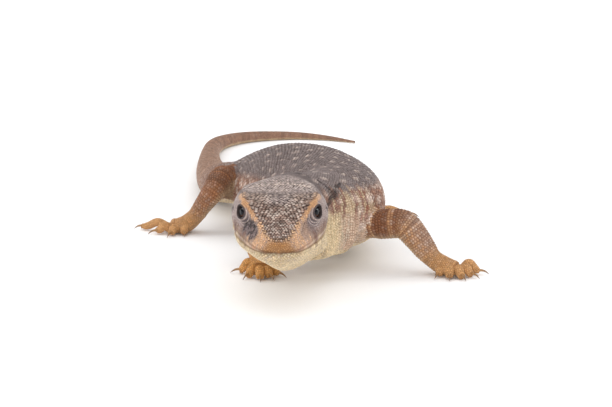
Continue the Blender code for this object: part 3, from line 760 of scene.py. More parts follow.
def between_rows(wrap, u, gap, around):
    """The way round between two rows, and how far apart the rows are, at some places around."""
    near, far = (wrap.read(wrap.points, np.full(len(around), at), around) for at in (u, u + gap))
    return lengths(0.5 * (near + far)), np.linalg.norm(far - near, axis=1)


def place_rows(wrap, start, end, high, low, long, wide):
    """Staggered rows of places between two heights, on both sides: u, v, length and width.

    On the outside of a bend the rows spread, so they are counted there. Inside it every other row is left
    out, and the rest are as long as two.
    """
    found = []
    fine = np.linspace(high, low, 60)
    u, number = start, 0
    while u < end:
        gap = long(u)
        for _ in range(4):
            paces = np.concatenate([between_rows(wrap, u, gap, sign * fine)[1] for sign in SIDES])
            gap = min(gap * long(u) / max(paces.mean(), 0.8 * paces.max()), 3.0 * long(u))
        offset = 0.5 * (number % 2)
        for sign in SIDES:
            arc, pace = between_rows(wrap, u, gap, sign * fine)
            count = max(1, round(arc[-1] / wide(u)))
            places = np.arange(count + (offset == 0.0 and low == 1.0)) + offset
            v = np.interp(places / count * arc[-1], arc, fine)
            length = np.interp(v, fine, pace)
            tight = length < TIGHT * long(u)
            at = u + np.where(tight, gap, 0.5 * gap)
            length = np.where(tight, 2.0 * length, length)
            kept = (~tight | (number % 2 == 0)) & ((sign > 0.0) | ((v > 1e-6) & (v < 1.0 - 1e-6)))
            found.append(np.stack((at, sign * v, length, np.full(len(v), arc[-1] / count)))[:, kept])
        u += gap
        number += 1
    return np.concatenate(found, axis=1)


# %% From a place on a tube to a root on the finished skin
BURIED = 0.16  # a place further than this from the skin lies inside another part, or in a pit
UNDER_LID = 1.3  # the same near an eye, where the lids stand out over the head's own form
LID_FIELD = (1.2, -2.4)  # where that holds: how far past the lid's ball, and how far ahead of its centre


def near_an_eye(places):
    near = np.zeros(len(places), dtype=bool)
    for side in SIDES:
        centre, axes = eye_frame(side)
        within = np.linalg.norm(places - centre, axis=1) < LID_RADIUS + LID_FIELD[0]
        near |= within & ((places - centre) @ axes[0] > LID_FIELD[1])
    return near


def on_the_skin(places):
    """Where places lie on the eased skin, the way out there, and which of them lie on it at all."""
    spots, faces, away = [], [], []
    for place in places.tolist():
        spot, _, face, distance = RAW_TREE.find_nearest(place)
        spots.append(spot)
        faces.append(face)
        away.append(distance)
    corners = RAW[TRIANGLES[faces]]
    one, two = corners[:, 1] - corners[:, 0], corners[:, 2] - corners[:, 0]
    to = np.array(spots) - corners[:, 0]
    a, b, c = (one * one).sum(1), (one * two).sum(1), (two * two).sum(1)
    p, q = (to * one).sum(1), (to * two).sum(1)
    area = np.maximum(a * c - b * b, 1e-12)
    share = np.clip(np.stack((c * p - b * q, a * q - b * p), axis=1) / area[:, None], 0.0, 1.0)
    share = np.concatenate((1.0 - share.sum(axis=1, keepdims=True), share), axis=1)[..., None]
    roots = (SOFT[TRIANGLES[faces]] * share).sum(axis=1)
    outward = unit((SOFT_OUT[TRIANGLES[faces]] * share).sum(axis=1))
    return roots, outward, np.array(away) < np.where(near_an_eye(places), UNDER_LID, BURIED)


# %% [markdown]
# ## The markings
#
# Skin and scales carry the same pattern, so it is worked out once, as a handful of numbers between 0 and 1
# at each root: how much of each paint shows there. Each scale takes one value for all of itself, as a real
# one does, which gives the pattern its small crisp steps. Noise in a shader alone would run across scales.

# %% The paints, and the helpers that lay them down
PAINTS = ("tan", "rust", "warm", "buff", "cream", "slate", "pale", "dark")


def blank(count):
    return {name: np.zeros(count) for name in PAINTS}


def chance(*numbers):
    """A number from 0 to 1 that always comes out the same for the same inputs."""
    total = sum(number * factor for number, factor in zip(numbers, (12.9898, 78.233, 37.719)))
    return (np.sin(total) * 43758.5453) % 1.0


def spots(along, across, gap_along, gap_across, radius, seed, inner=0.7, outer=1.2):
    """Round spots in staggered rows, each a little out of place: 1 inside, and the distance in radii."""
    row = np.round(along / gap_along)
    shift = 0.5 * (row % 2)
    column = np.round(across / gap_across - shift)
    off_along = 0.36 * (chance(row, column, seed) - 0.5)
    off_across = 0.36 * (chance(row, column, seed + 1.0) - 0.5)
    size = radius * (0.75 + 0.5 * chance(row, column, seed + 2.0))
    from_along = along - (row + off_along) * gap_along
    from_across = across - (column + shift + off_across) * gap_across
    away = np.hypot(from_along, from_across)
    return 1.0 - step(inner, outer, away / size), away / size


def bars(along, spacing, share, seed):
    """Bars across, of uneven width: 1 inside."""
    wave = along / spacing + 0.25 * np.sin(along * 1.7 + seed) + 0.15 * np.sin(along * 0.6 + 2.0 * seed)
    from_middle = 2.0 * np.abs((wave % 1.0) - 0.5)
    return 1.0 - step(0.8 * share, 1.2 * share, from_middle)


def band(low, high, soft, value):
    """1 between low and high, fading over a soft edge on both sides."""
    return step(low - soft, low + soft, value) * (1.0 - step(high - soft, high + soft, value))


# %% Paint on the body, from snout to tail
CREAM_EDGE = np.array((
    (0.0, 0.515), (12.0, 0.515), (22.0, 0.50), (26.0, 0.47), (30.0, 0.46), (38.0, 0.45), (46.0, 0.50),
    (54.0, 0.60), (64.0, 0.66), (100.0, 0.7), (TAIL_START, 0.66), (TAIL_TIP, 0.62),
))
FLANK_EDGE = np.array(((46.0, 0.29), (56.0, 0.31), (70.0, 0.38), (TAIL_START, 0.42)))


def body_paint(u, v, places):
    side = np.abs(v)
    across = v * np.interp(u, STATIONS, GIRTHS)
    paint = blank(len(u))
    head, tail = 1.0 - step(HEAD_END, HEAD_END + 5.0, u), step(112.0, 138.0, u)
    trunk = (1.0 - head) * (1.0 - tail)
    edge = np.interp(u, CREAM_EDGE[:, 0], CREAM_EDGE[:, 1]) + 0.02 * np.sin(1.3 * u + 3.0 * v)
    paint["cream"] = step(edge - 0.03, edge + 0.05, side) * (1.0 - 0.35 * tail)
    paint["tan"] = 0.95 * tail + 0.5 * head * (1.0 - step(20.0, 28.0, u))
    paint["rust"] = 0.14 * tail

    back, rim = spots(u / 1.5, across, 3.6, 3.4, 0.72, 3.0, 0.3, 1.4)
    on_back = (1.0 - head) * (1.0 - step(0.36, 0.46, side))
    paint["pale"] += 0.46 * back * on_back * (1.0 - 0.6 * tail)
    paint["dark"] += 0.1 * on_back * (1.0 - step(1.2, 2.0, rim)) * (1.0 - back)

    flank_edge = np.interp(u, FLANK_EDGE[:, 0], FLANK_EDGE[:, 1])
    flank = trunk * step(flank_edge - 0.05, flank_edge + 0.05, side) * (1.0 - step(0.7, 0.78, side))
    flank *= step(45.0, 50.0, u)
    blotch, rim = spots(u, across, 4.4, 4.2, 1.35, 9.0, 0.4, 1.3)
    paint["tan"] = np.maximum(paint["tan"], 0.85 * flank)
    paint["rust"] += 0.35 * flank * (1.0 - 0.7 * blotch)
    paint["pale"] += 0.7 * flank * blotch
    paint["dark"] += 0.14 * flank * (1.0 - step(1.1, 1.7, rim)) * (1.0 - blotch)

    belly = trunk * step(0.66, 0.74, side)
    paint["rust"] += 0.35 * belly * bars(u, 7.0, 0.35, 2.0)
    paint["dark"] += 0.2 * tail * bars(u, 7.5, 0.45, 5.0) * (1.0 - 0.6 * paint["cream"])

    neck = band(36.0, 54.0, 2.0, u)
    streak = bars(u + 8.0 * side, 3.4, 0.42, 2.0)
    ragged = 0.035 * np.sin(1.9 * u + 4.0) + 0.025 * np.sin(4.3 * u + 11.0 * side)
    upper = neck * band(0.29, 0.56, 0.05, side + ragged)
    lower = neck * step(0.46, 0.52, side) * (1.0 - step(0.76, 0.84, side))
    behind = step(39.5, 44.0, u)
    paint["tan"] = np.maximum(paint["tan"], 0.7 * upper)
    paint["rust"] += 0.4 * upper * (1.0 - streak)
    paint["dark"] += 0.14 * upper * (1.0 - streak)
    paint["cream"] = np.maximum(paint["cream"] * (1.0 - 0.55 * lower * behind), 0.5 * upper * streak)
    paint["rust"] += lower * (0.18 * behind + 0.6 * bars(u + 6.0 * side, 4.0, 0.36, 1.0))
    paint["pale"] += 0.3 * lower * behind
    nape = band(34.6, 38.5, 0.5, u) * (1.0 - step(0.3, 0.36, side))
    paint["dark"] += 0.24 * nape
    head_paint(paint, u, v, side, across, head)
    neck_strokes(paint, u, v, side)
    near_eyes(paint, places)
    dark_patch(paint, u, v, side)
    return paint


# %% Dark strokes behind the head, as a monitor of that age has
STROKES = (  # from u, v to u, v, and half its width in mm
    (36.8, 0.39, 42.0, 0.30, 0.5),
    (41.4, 0.305, 42.2, 0.285, 1.0),
    (42.0, 0.29, 40.0, 0.17, 0.4),
    (42.2, 0.29, 46.6, 0.20, 0.4),
    (24.5, 0.40, 34.0, 0.43, 0.3),
)
NAPE_MARK = (36.9, 0.035, 0.7, 1.6)  # a crescent's u, v, and its reach along and across


def neck_strokes(paint, u, v, side):
    girth = np.interp(u, STATIONS, GIRTHS)
    for start_u, start_v, end_u, end_v, half_width in STROKES:
        long, wide = end_u - start_u, (end_v - start_v) * girth
        off_u, off_v = u - start_u, (side - start_v) * girth
        share = np.clip((off_u * long + off_v * wide) / (long ** 2 + wide ** 2), 0.0, 1.0)
        away = np.hypot(off_u - share * long, off_v - share * wide + 0.35 * np.sin(1.7 * u + 9.0 * v))
        paint["dark"] = np.maximum(paint["dark"], 0.85 * (1.0 - step(0.4, 1.7, away / half_width)))
    mark_u, mark_v, reach_u, reach_v = NAPE_MARK
    bent = u - mark_u - 0.12 * ((v - mark_v) * girth) ** 2
    crescent = bump(bent, reach_u) * bump((v - mark_v) * girth, reach_v)
    paint["dark"] = np.maximum(paint["dark"], 0.75 * crescent)


# %% Paint on the head
BROW_AT = np.array((9.0, 11.4, 14.4, 17.6, 20.0, 25.0))
BROW_INNER = np.array((0.262, 0.274, 0.276, 0.264, 0.252, 0.235))
BROW_OUTER = np.array((0.34, 0.345, 0.325, 0.31, 0.31, 0.31))
STRIPE_AT = np.array((2.8, 4.0, 6.0, 8.0, 10.5, 13.0))
STRIPE_EDGE = np.array((0.10, 0.15, 0.18, 0.21, 0.25, 0.27))


def head_paint(paint, u, v, side, across, head):
    random = chance(np.round(3.0 * u), np.round(90.0 * v), 2.0)
    edge = np.interp(u, STRIPE_AT, STRIPE_EDGE)
    crown = head * (1.0 - step(edge - 0.02, edge + 0.01, side))
    middle = crown * band(3.0, 24.0, 1.2, u)
    paint["tan"] = np.maximum(paint["tan"], 0.7 * middle)
    paint["rust"] += 0.3 * crown * band(3.2, 16.5, 1.5, u) * (random < 0.5)
    paint["pale"] += middle * (0.15 + 0.65 * random ** 2)
    paint["dark"] += middle * (0.14 + 0.26 * (random < 0.3))
    paint["slate"] += 0.5 * crown * band(16.5, 24.0, 1.5, u) * (1.0 - step(0.04, 0.12, side))
    rear = step(23.5, 27.0, u) * (1.0 - step(32.8, 36.4, u + 1.2 * random)) * (1.0 - step(0.22, 0.3, side))
    paint["slate"] += 0.3 * rear
    arch = bump(u - 30.4 + 4.0 * side, 0.5)
    paint["pale"] += 0.42 * rear + 0.25 * rear * (random > 0.6) + 0.3 * rear * arch
    pair = bump(u - 17.0, 0.9) * bump(side - 0.043, 0.016)
    paint["dark"] = np.maximum(paint["dark"], 0.55 * pair)

    inner, outer = np.interp(u, BROW_AT, BROW_INNER), np.interp(u, BROW_AT, BROW_OUTER)
    brow = step(inner - 0.012, inner + 0.012, side) * (1.0 - step(outer - 0.01, outer + 0.015, side))
    brow *= head * band(9.5, 25.0, 1.2, u)
    paint["buff"] = np.maximum(paint["buff"], 0.75 * brow)
    paint["warm"] += 0.35 * brow * (1.0 - step(18.0, 22.0, u))
    for name in ("pale", "rust", "dark", "slate"):
        paint[name] *= 1.0 - 0.85 * brow
    paint["rust"] += 0.22 * brow
    paint["pale"] += 0.25 * brow * step(19.0, 23.0, u)
    face = head * (1.0 - step(11.5, 14.5, u)) * step(edge - 0.01, edge + 0.03, side) * step(2.0, 4.0, u)
    face *= 1.0 - step(0.47, 0.52, side)
    paint["buff"] = np.maximum(paint["buff"], 0.9 * face)
    paint["pale"] += 0.14 * face
    paint["rust"] += 0.25 * face * (1.0 - step(0.04, 0.09, side - edge))
    paint["slate"] += 0.45 * face * bars(u + 9.0 * side, 1.7, 0.2, 7.0)
    cheek = head * band(0.31, 0.45, 0.02, side) * step(14.0, 17.0, u)
    paint["slate"] += 0.6 * cheek * (1.0 - step(25.0, 32.0, u))
    paint["pale"] += 0.3 * cheek + 0.12 * head * band(0.44, 0.515, 0.012, side) * step(5.0, 9.0, u)

    front = (1.0 - step(2.6, 4.4, u)) * (1.0 - step(0.5, 0.53, side))
    paint["tan"] = np.maximum(paint["tan"], 0.85 * front)
    paint["buff"] *= 1.0 - 0.7 * front
    paint["warm"] = np.maximum(paint["warm"], 0.6 * front)
    paint["cream"] *= 1.0 - 0.8 * front
    paint["rust"] += 0.3 * front + 0.35 * bump(u - 2.2, 0.5) * (1.0 - step(0.2, 0.34, side))
    paint["dark"] += 0.2 * front
    line = bump((side - LIP_AT) * np.interp(u, STATIONS, GIRTHS), 0.5) * (1.0 - step(3.0, 8.0, u))
    paint["rust"] += 0.6 * line
    paint["dark"] += 0.45 * line

    lip = head * band(0.44, 0.515, 0.012, side) * step(4.5, 7.0, u)
    ticks = bars(u + 4.0 * side, 2.5, 0.3, 0.5)
    paint["rust"] += 0.5 * lip * ticks
    paint["dark"] += 0.32 * lip * ticks * step(8.0, 12.0, u)
    jaw = head * band(0.52, 0.63, 0.025, side) * step(9.0, 13.0, u)
    paint["rust"] += 0.7 * jaw * ticks
    paint["dark"] += 0.2 * jaw * ticks
    lower_lip = head * (1.0 - step(4.0, 7.0, u)) * step(0.52, 0.55, side)
    paint["warm"] += 0.45 * lower_lip * (1.0 - step(0.7, 0.95, side))
    paint["tan"] = np.maximum(paint["tan"], 0.5 * lower_lip)
    paint["dark"] += 0.04 * lower_lip
    speck, _ = spots(u, across, 1.7, 1.9, 0.5, 6.0)
    chin = head * step(0.56, 0.62, side)
    paint["slate"] += 0.3 * chin * (random > 0.7)
    paint["tan"] = np.maximum(paint["tan"], 0.35 * chin * (random < 0.25))
    throat = head * step(0.58, 0.66, side) * step(6.0, 13.0, u)
    paint["rust"] += 0.7 * throat * speck * (0.25 + 0.75 * step(0.0, 6.0, across))


def lid_grey(places):
    """1 on the grey skin round the eyes, below the brow."""
    grey = np.zeros(len(places))
    for side in SIDES:
        around_eye, ahead, browward = eye_distance(places, side)
        below = 1.0 - step(1.1, 1.35, browward)
        grey = np.maximum(grey, (1.0 - step(1.9, 2.7, around_eye)) * (ahead > -1.0) * below)
    return grey


def near_eyes(paint, places):
    grey = lid_grey(places)
    paint["slate"] = np.maximum(paint["slate"], 0.85 * grey)
    for name in ("warm", "buff", "cream", "rust", "tan"):
        paint[name] *= 1.0 - 0.85 * grey
    paint["dark"] *= 1.0 - 0.8 * grey
    paint["pale"] *= 1.0 - 0.6 * grey


PATCH_AT = np.array((8.5, 11.0, 15.0, 18.0))
PATCH_INNER = np.array((0.30, 0.305, 0.385, 0.41))


def dark_patch(paint, u, v, side):
    """The blotch in front of each eye, darker on the animal's right."""
    random = chance(np.round(1.6 * u), np.round(45.0 * v), 5.0)
    inner = np.interp(u, PATCH_AT, PATCH_INNER) + 0.012 * np.sin(3.0 * u)
    patch = band(8.4, 16.4, 1.0, u) * step(inner - 0.015, inner + 0.015, side)
    patch *= 1.0 - step(0.445, 0.475, side + 0.012 * np.sin(2.3 * u))
    right = v < 0.0
    paint["tan"] = np.maximum(paint["tan"], 0.5 * patch * right)
    paint["slate"] = np.maximum(paint["slate"], patch * np.where(right, 0.55, 0.35))
    for name in ("pale", "buff", "warm", "rust"):
        paint[name] *= 1.0 - patch * np.where(right, 0.85, 0.3)
    deep = patch * np.where(right, 0.2 + 0.6 * (random > 0.5), 0.08)
    paint["dark"] = np.maximum(paint["dark"], deep)


# %% Paint on the limbs and toes
LIMB_REACH, LIMB_HALF_GIRTH = 34.0, 11.0  # in mm, about what a limb measures


def limb_paint(name, t, v):
    """t runs from 0 at the trunk to 1 at the foot."""
    paint = blank(len(t))
    side = np.abs(v)
    hind = name.endswith("leg")
    foot = step(0.7, 0.88, t)
    lower = step(0.48, 0.6, t) * (1.0 - foot)
    under_chin = name == "right_arm"
    paint["tan"] = (0.7 if hind else 0.8) * (1.0 - foot)
    paint["warm"] = 0.22 + (0.8 if under_chin else 0.5) * foot
    paint["buff"] = (0.12 if hind else 0.42) * lower + 0.2 * foot
    paint["rust"] = (0.62 if hind else 0.34) * (1.0 - foot) + 0.8 * bump(t - 0.52, 0.14)
    paint["rust"] += 0.0 if under_chin else 0.3 * foot
    upper = 1.0 - step(0.55, 0.7, t)
    bar = bars(LIMB_REACH * t, 2.7, 0.5, 1.0 if hind else 3.0) * upper
    paint["rust"] += 0.3 * bar
    paint["dark"] = 0.22 * bar * (1.0 - step(0.7, 0.9, side)) + (0.1 if hind else 0.0) * (1.0 - foot)
    paint["buff"] += (0.1 if hind else 0.45) * upper * (1.0 - bar)
    paint["slate"] = (0.08 if hind else 0.3) * lower * (1.0 - step(0.2, 0.5, side))
    paint["dark"] += 0.12 * lower * bars(LIMB_REACH * t, 1.7, 0.35, 2.0)
    paint["dark"] += 0.22 * bump(t - 0.46, 0.16) + (0.0 if under_chin else 0.14) * bump(t - 0.82, 0.14)
    speck, _ = spots(LIMB_REACH * t, LIMB_HALF_GIRTH * v, 1.9, 1.9, 0.55, 4.0)
    paint["pale"] = (0.25 if hind else 0.4) * speck * (1.0 - 0.7 * foot) * (1.0 - 0.5 * bar)
    paint["cream"] = 0.5 * step(0.6, 0.85, side) * (1.0 - 0.6 * foot)
    return paint


def toe_paint(name, t, v):
    paint = blank(len(t))
    under_chin = name == "right_arm"
    paint["buff"] = np.full(len(t), 0.1 if under_chin else 0.3)
    paint["warm"] = np.full(len(t), 1.0 if under_chin else 0.8)
    paint["rust"] = (0.1 if under_chin else 0.3) * step(0.6, 1.0, t)
    paint["dark"] = 0.12 * step(0.85, 1.0, t)
    return paint


# %% [markdown]
# ## One scale
#
# Each kind of scale is one small closed mesh of two or three rings: a pebble for the crown, a keeled one for
# the tail and limbs, and a granule for all the rest. All of them are a unit across, and are stretched to
# their place. Neighbours overlap a little at the foot, so that the groove between two domes falls where
# they cross, and follows the odd shapes that real scales have. The top lies open in a tiny square of the
# map named OFBake, and the unseen foot has a spot of its own beside it.

# %% Prototype scales
PATCH = 0.0015  # half a scale's square on the map
SHAPES = {  # sides, then each ring's height, size and how far it is pushed back; then the top's
    "pebble": (8, ((-0.9, 0.95, 0.0), (0.2, 1.0, 0.0), (0.78, 0.7, 0.02)), (1.0, 0.0)),
    "granule": (7, ((-0.9, 0.95, 0.0), (0.42, 0.86, 0.03)), (1.0, 0.06)),
    "keeled": (6, ((-0.9, 0.95, 0.0), (0.4, 0.84, 0.12)), (1.05, 0.3)),
}


def new_scale(name, sides, rings, top):
    angle = 2.0 * math.pi * (np.arange(sides) + 0.5) / sides
    points, flat = [], []
    rises = [max(height, 0.0) for height, _, _ in rings for _ in range(sides)] + [1.0]
    for number, (height, size, back) in enumerate(rings):
        points += [(0.5 * size * math.sin(a), 0.5 * size * math.cos(a) + back, height) for a in angle]
        spread = 1.0 - number / len(rings)
        flat += [(spread * math.sin(a), spread * math.cos(a)) for a in angle]
    points.append((0.0, top[1], top[0]))
    flat.append((0.0, 0.0))
    faces = []
    for ring in range(len(rings) - 1):
        low, high = ring * sides, (ring + 1) * sides
        faces += [(low + (i + 1) % sides, low + i, high + i, high + (i + 1) % sides) for i in range(sides)]
    last = (len(rings) - 1) * sides
    faces += [(last + (i + 1) % sides, last + i, len(points) - 1) for i in range(sides)]
    foot = tuple(range(sides))
    mesh = bpy.data.meshes.new(name)
    mesh.from_pydata(points, [], faces + [foot])
    mesh.shade_smooth()
    patch = mesh.attributes.new("patch", "FLOAT2", "CORNER")
    spread = []
    for face in mesh.polygons:
        for corner in face.vertices:
            x, y = flat[corner]
            beside = face.index == len(faces)
            spread.append((0.85 + 0.12 * x, 0.12 * y) if beside else (0.7 * x - 0.25, 0.7 * y))
    patch.data.foreach_set("vector", PATCH * np.array(spread, dtype=np.float32).ravel())
    # The rise runs from a scale's foot to its top. The painted shade in the grooves is read from it.
    mesh.attributes.new("rise", "FLOAT", "POINT").data.foreach_set("value", rises)
    return bpy.data.objects.new(name, mesh)


PROTOTYPES = {name: new_scale(name, *shape) for name, shape in SHAPES.items()}
print({name: sum(len(face.vertices) - 2 for face in made.data.polygons) for name, made in PROTOTYPES.items()})

# %% [markdown]
# ## The node tree that plants the scales
#
# A point mesh holds one vertex for each root, with attributes for which way is out, which way is back, how
# large the scale is and how it is painted. The tree sets the prototype on each point, turns it twice, adds
# a little disorder from its seed, and makes the instances real. The attributes ride along by themselves.

# %% A small helper for node trees
def add_node(tree, kind, inputs=(), **settings):
    """A node with its settings, and its inputs linked from sockets or set to values."""
    made = tree.nodes.new(kind)
    for name, value in settings.items():
        setattr(made, name, value)
    for key, value in dict(inputs).items():
        if isinstance(value, bpy.types.NodeSocket):
            tree.links.new(value, made.inputs[key])
        else:
            made.inputs[key].default_value = value
    return made


def maths(tree, operation, one, other):
    return add_node(tree, "ShaderNodeMath", {0: one, 1: other}, operation=operation).outputs[0]


def named(tree, name):
    made = add_node(tree, "GeometryNodeInputNamedAttribute", {"Name": name}, data_type="FLOAT_VECTOR")
    return made.outputs["Attribute"]


def number_named(tree, name):
    return add_node(tree, "ShaderNodeAttribute", attribute_name=name).outputs["Fac"]


# %% The tree
PLANT = bpy.data.node_groups.new("plant_scales", "GeometryNodeTree")
for label, kind, value in (
    ("Geometry", "NodeSocketGeometry", None),
    ("Scale Shape", "NodeSocketObject", None),
    ("Material", "NodeSocketMaterial", None),
    ("Turn", "NodeSocketFloat", 0.12),
    ("Size Change", "NodeSocketFloat", 0.08),
    ("Seed", "NodeSocketInt", 5),
):
    socket = PLANT.interface.new_socket(label, in_out="INPUT", socket_type=kind)
    if value is not None:
        socket.default_value = value
PLANT.interface.new_socket("Geometry", in_out="OUTPUT", socket_type="NodeSocketGeometry")
given = add_node(PLANT, "NodeGroupInput").outputs
shape = add_node(PLANT, "GeometryNodeObjectInfo", {"Object": given["Scale Shape"], "As Instance": True})
stand = add_node(PLANT, "FunctionNodeAlignRotationToVector", {"Vector": named(PLANT, "outward")}, axis="Z")
lie = add_node(
    PLANT, "FunctionNodeAlignRotationToVector",
    {"Rotation": stand.outputs["Rotation"], "Vector": named(PLANT, "backward")}, axis="Y", pivot_axis="Z",
)
less = maths(PLANT, "SUBTRACT", 0.0, given["Turn"])
turn = add_node(PLANT, "FunctionNodeRandomValue", {"Seed": given["Seed"]}, data_type="FLOAT")
PLANT.links.new(less, turn.inputs[2])
PLANT.links.new(given["Turn"], turn.inputs[3])
spin = add_node(PLANT, "ShaderNodeCombineXYZ", {"Z": turn.outputs[1]})
spun = add_node(
    PLANT, "FunctionNodeRotateRotation",
    {"Rotation": lie.outputs["Rotation"], "Rotate By": spin.outputs[0]}, rotation_space="LOCAL",
)
smaller = maths(PLANT, "SUBTRACT", 1.0, given["Size Change"])
larger = maths(PLANT, "ADD", 1.0, given["Size Change"])
change = add_node(PLANT, "FunctionNodeRandomValue", {"Seed": given["Seed"]}, data_type="FLOAT")
PLANT.links.new(smaller, change.inputs[2])
PLANT.links.new(larger, change.inputs[3])
size = add_node(
    PLANT, "ShaderNodeVectorMath", {0: named(PLANT, "size"), "Scale": change.outputs[1]}, operation="SCALE"
)
planted = add_node(
    PLANT, "GeometryNodeInstanceOnPoints",
    {"Points": given["Geometry"], "Instance": shape.outputs["Geometry"],
     "Rotation": spun.outputs["Rotation"], "Scale": size.outputs["Vector"]},
)
real = add_node(PLANT, "GeometryNodeRealizeInstances", {"Geometry": planted.outputs["Instances"]})
where = add_node(PLANT, "ShaderNodeVectorMath", {0: named(PLANT, "chart"), 1: named(PLANT, "patch")})
mapped = add_node(
    PLANT, "GeometryNodeStoreNamedAttribute",
    {"Geometry": real.outputs["Geometry"], "Name": "OFBake", "Value": where.outputs["Vector"]},
    data_type="FLOAT2", domain="CORNER",
)
painted = add_node(
    PLANT, "GeometryNodeSetMaterial", {"Geometry": mapped.outputs["Geometry"], "Material": given["Material"]}
)
add_node(PLANT, "NodeGroupOutput", {"Geometry": painted.outputs["Geometry"]})

# %% [markdown]
# ## The coat, region by region
#
# Scale sizes follow the animal: fine round the eyes and on the throat, larger on the crown, largest on the
# back and belly, small again on the feet. Each region is one row of the table below. The lips have rows of
# their own beside the line of the mouth, so that no scale lies across it, and the lids have rings. Loose
# granules fill the fold between lid and crown, which neither rows nor rings reach.

# %% Regions of the body: piece, shape, from u, to u, from v, to v, length, and width and height beside it
CROWN_SIZE = ((0.0, 0.44), (5.0, 0.52), (12.0, 0.68), (19.0, 0.74), (24.0, 0.6), (HEAD_END, 0.52))
TAIL_SIZE = ((TAIL_START, 0.92), (160.0, 0.8), (200.0, 0.62), (240.0, 0.44), (TAIL_TIP, 0.26))
REGIONS = (
    ("crown_scales", "pebble", 3.0, HEAD_END, 0.0, 0.272, CROWN_SIZE, 1.15, 0.5),
    ("face_scales", "granule", 0.5, 3.0, 0.0, 0.262, 0.42, 1.05, 0.3),
    ("face_scales", "granule", 3.0, HEAD_END, 0.272, 0.30, 0.4, 1.05, 0.36),
    ("face_scales", "granule", 0.5, 3.0, 0.262, 0.475, 0.42, 1.05, 0.3),
    ("face_scales", "granule", 3.0, HEAD_END, 0.30, 0.475, 0.43, 1.05, 0.36),
    ("throat_scales", "granule", 0.6, HEAD_END, 0.565, 1.0, 0.52, 1.0, 0.34),
    ("neck_scales", "granule", HEAD_END, NECK_END, 0.0, 1.0, 0.6, 1.05, 0.34),
    ("back_scales", "granule", NECK_END, TAIL_START, 0.0, 0.62, 0.92, 1.03, 0.34),
    ("belly_scales", "granule", NECK_END, TAIL_START, 0.62, 1.0, 1.0, 1.0, 0.22),
    ("tail_scales", "keeled", TAIL_START, TAIL_TIP, 0.0, 1.0, TAIL_SIZE, 1.0, 0.28),
)
LIP_ROWS = ("face_scales", "granule", 0.5, HEAD_END, 0.475, 0.565, 0.55, 0.18)
LIMB_SCALE = (0.64, 1.05, 0.32)
FOOT_SCALE = (0.5, 1.1, 0.28)
TOE_SCALE = (0.42, 1.2, 0.24)
OVERLAP = 1.14  # how much longer and wider a scale is than its place
DISORDER = 0.08  # how far a scale strays from its place, beside its size
SLOTS = {"crown": "head_skin", "face": "head_skin", "throat": "head_skin", "tail": "tail_skin"}

# %% Collecting the roots of each piece
coat = {}


def add_batch(piece, shape, chosen, roots, outward, back, size, chart, paint):
    values = {"roots": roots, "outward": outward, "backward": back, "size": size, "chart": chart, **paint}
    coat.setdefault(piece, (shape, []))[1].append({name: value[chosen] for name, value in values.items()})


def add_scales(piece, shape, places, back, length, width, height, chart, paint, keep=None):
    """Puts scales on a piece's list, for the places that lie on the skin."""
    roots, outward, shows = on_the_skin(places)
    shows &= np.ones(len(places), dtype=bool) if keep is None else keep
    size = OVERLAP * np.stack((width, length, np.full(len(width), height / OVERLAP)), axis=1)
    add_batch(piece, shape, shows, roots, outward, back, size, chart, paint)


def away_from_eyes(places):
    """True where the rows of the body hold, and not the rings round an eye."""
    keep = np.ones(len(places), dtype=bool)
    for side in SIDES:
        around_eye, ahead, _ = eye_distance(places, side)
        keep &= (around_eye > RING_END) | (ahead < RING_AHEAD)
    return keep


MAP_EDGE = 0.01  # kept free all round the map, for the width of a patch
ROWS_SHARE = 0.86  # how much of a body map's height its rows take: the lids' rings have the rest


def on_the_map(x, y):
    """Places on the map, from two runs of numbers between 0 and 1."""
    flat = [MAP_EDGE + (1.0 - 2.0 * MAP_EDGE) * np.clip(run, 0.0, 1.0) for run in (x, y)]
    return np.stack((*flat, np.zeros(len(x))), axis=1)


def body_chart(u, v, start=0.0, end=HEAD_END):
    """The body unrolled: its places around run across the map, and those from start to end run up it."""
    return on_the_map((v + 1.0) / 2.0, ROWS_SHARE * (u - start) / (end - start))


# %% Rows on the body
RING_AHEAD = 0.8  # mm in front of an eye's centre: where the lids fall away behind this, rows take over
RING_END = 2.1  # openings out from an eye that the rings of its lids reach
SPINE = Wrap(spaced((0.0, TAIL_TIP, 0.4)), lambda along, around: skin_points(along, around, -SKIN_DEPTH)[0])


def add_region(piece, shape, start, end, high, low, length, widen, raise_by):
    knots, sizes = np.array(length if isinstance(length, tuple) else ((start, length), (end, length))).T
    long = lambda u: np.interp(u, knots, sizes)
    u, v, length, width = place_rows(SPINE, start, end, high, low, long, lambda u: widen * long(u))
    stray = DISORDER * RANDOM.standard_normal((2, len(u))).clip(-2.0, 2.0)
    u, v = u + stray[0] * length, v + stray[1] * width / np.interp(u, STATIONS, GIRTHS)
    places = SPINE.read(SPINE.points, u, v)
    chart = body_chart(u, v) if end <= HEAD_END else body_chart(u, v, start, end)
    add_scales(
        piece, shape, places, unit(SPINE.read(SPINE.back, u, v)), length, width, raise_by * long(u), chart,
        body_paint(u, v, places), away_from_eyes(places),
    )


for region in REGIONS:
    add_region(*region)


# %% A row of larger scales along each lip
def add_lips(piece, shape, start, end, high, low, long, height):
    for above in (True, False):
        v_low, v_high = (high, LIP_AT) if above else (LIP_AT, low)
        middle = 0.5 * (v_low + v_high)
        fine = spaced((start, end, 0.1))
        line = SPINE.read(SPINE.points, fine, np.full(len(fine), middle))
        arc = lengths(line)
        u = np.interp(np.arange(0.5 * long, arc[-1], long), arc, fine)
        half_girth = np.interp(u, STATIONS, GIRTHS)
        width = (v_high - v_low) * half_girth * 0.98 / OVERLAP
        length = np.full(len(u), long)
        for side in SIDES:
            v = np.full(len(u), side * middle)
            places = SPINE.read(SPINE.points, u, v)
            back = unit(SPINE.read(SPINE.back, u, v))
            paint = body_paint(u, v, places)
            add_scales(piece, shape, places, back, length, width, height, body_chart(u, v), paint)


add_lips(*LIP_ROWS)

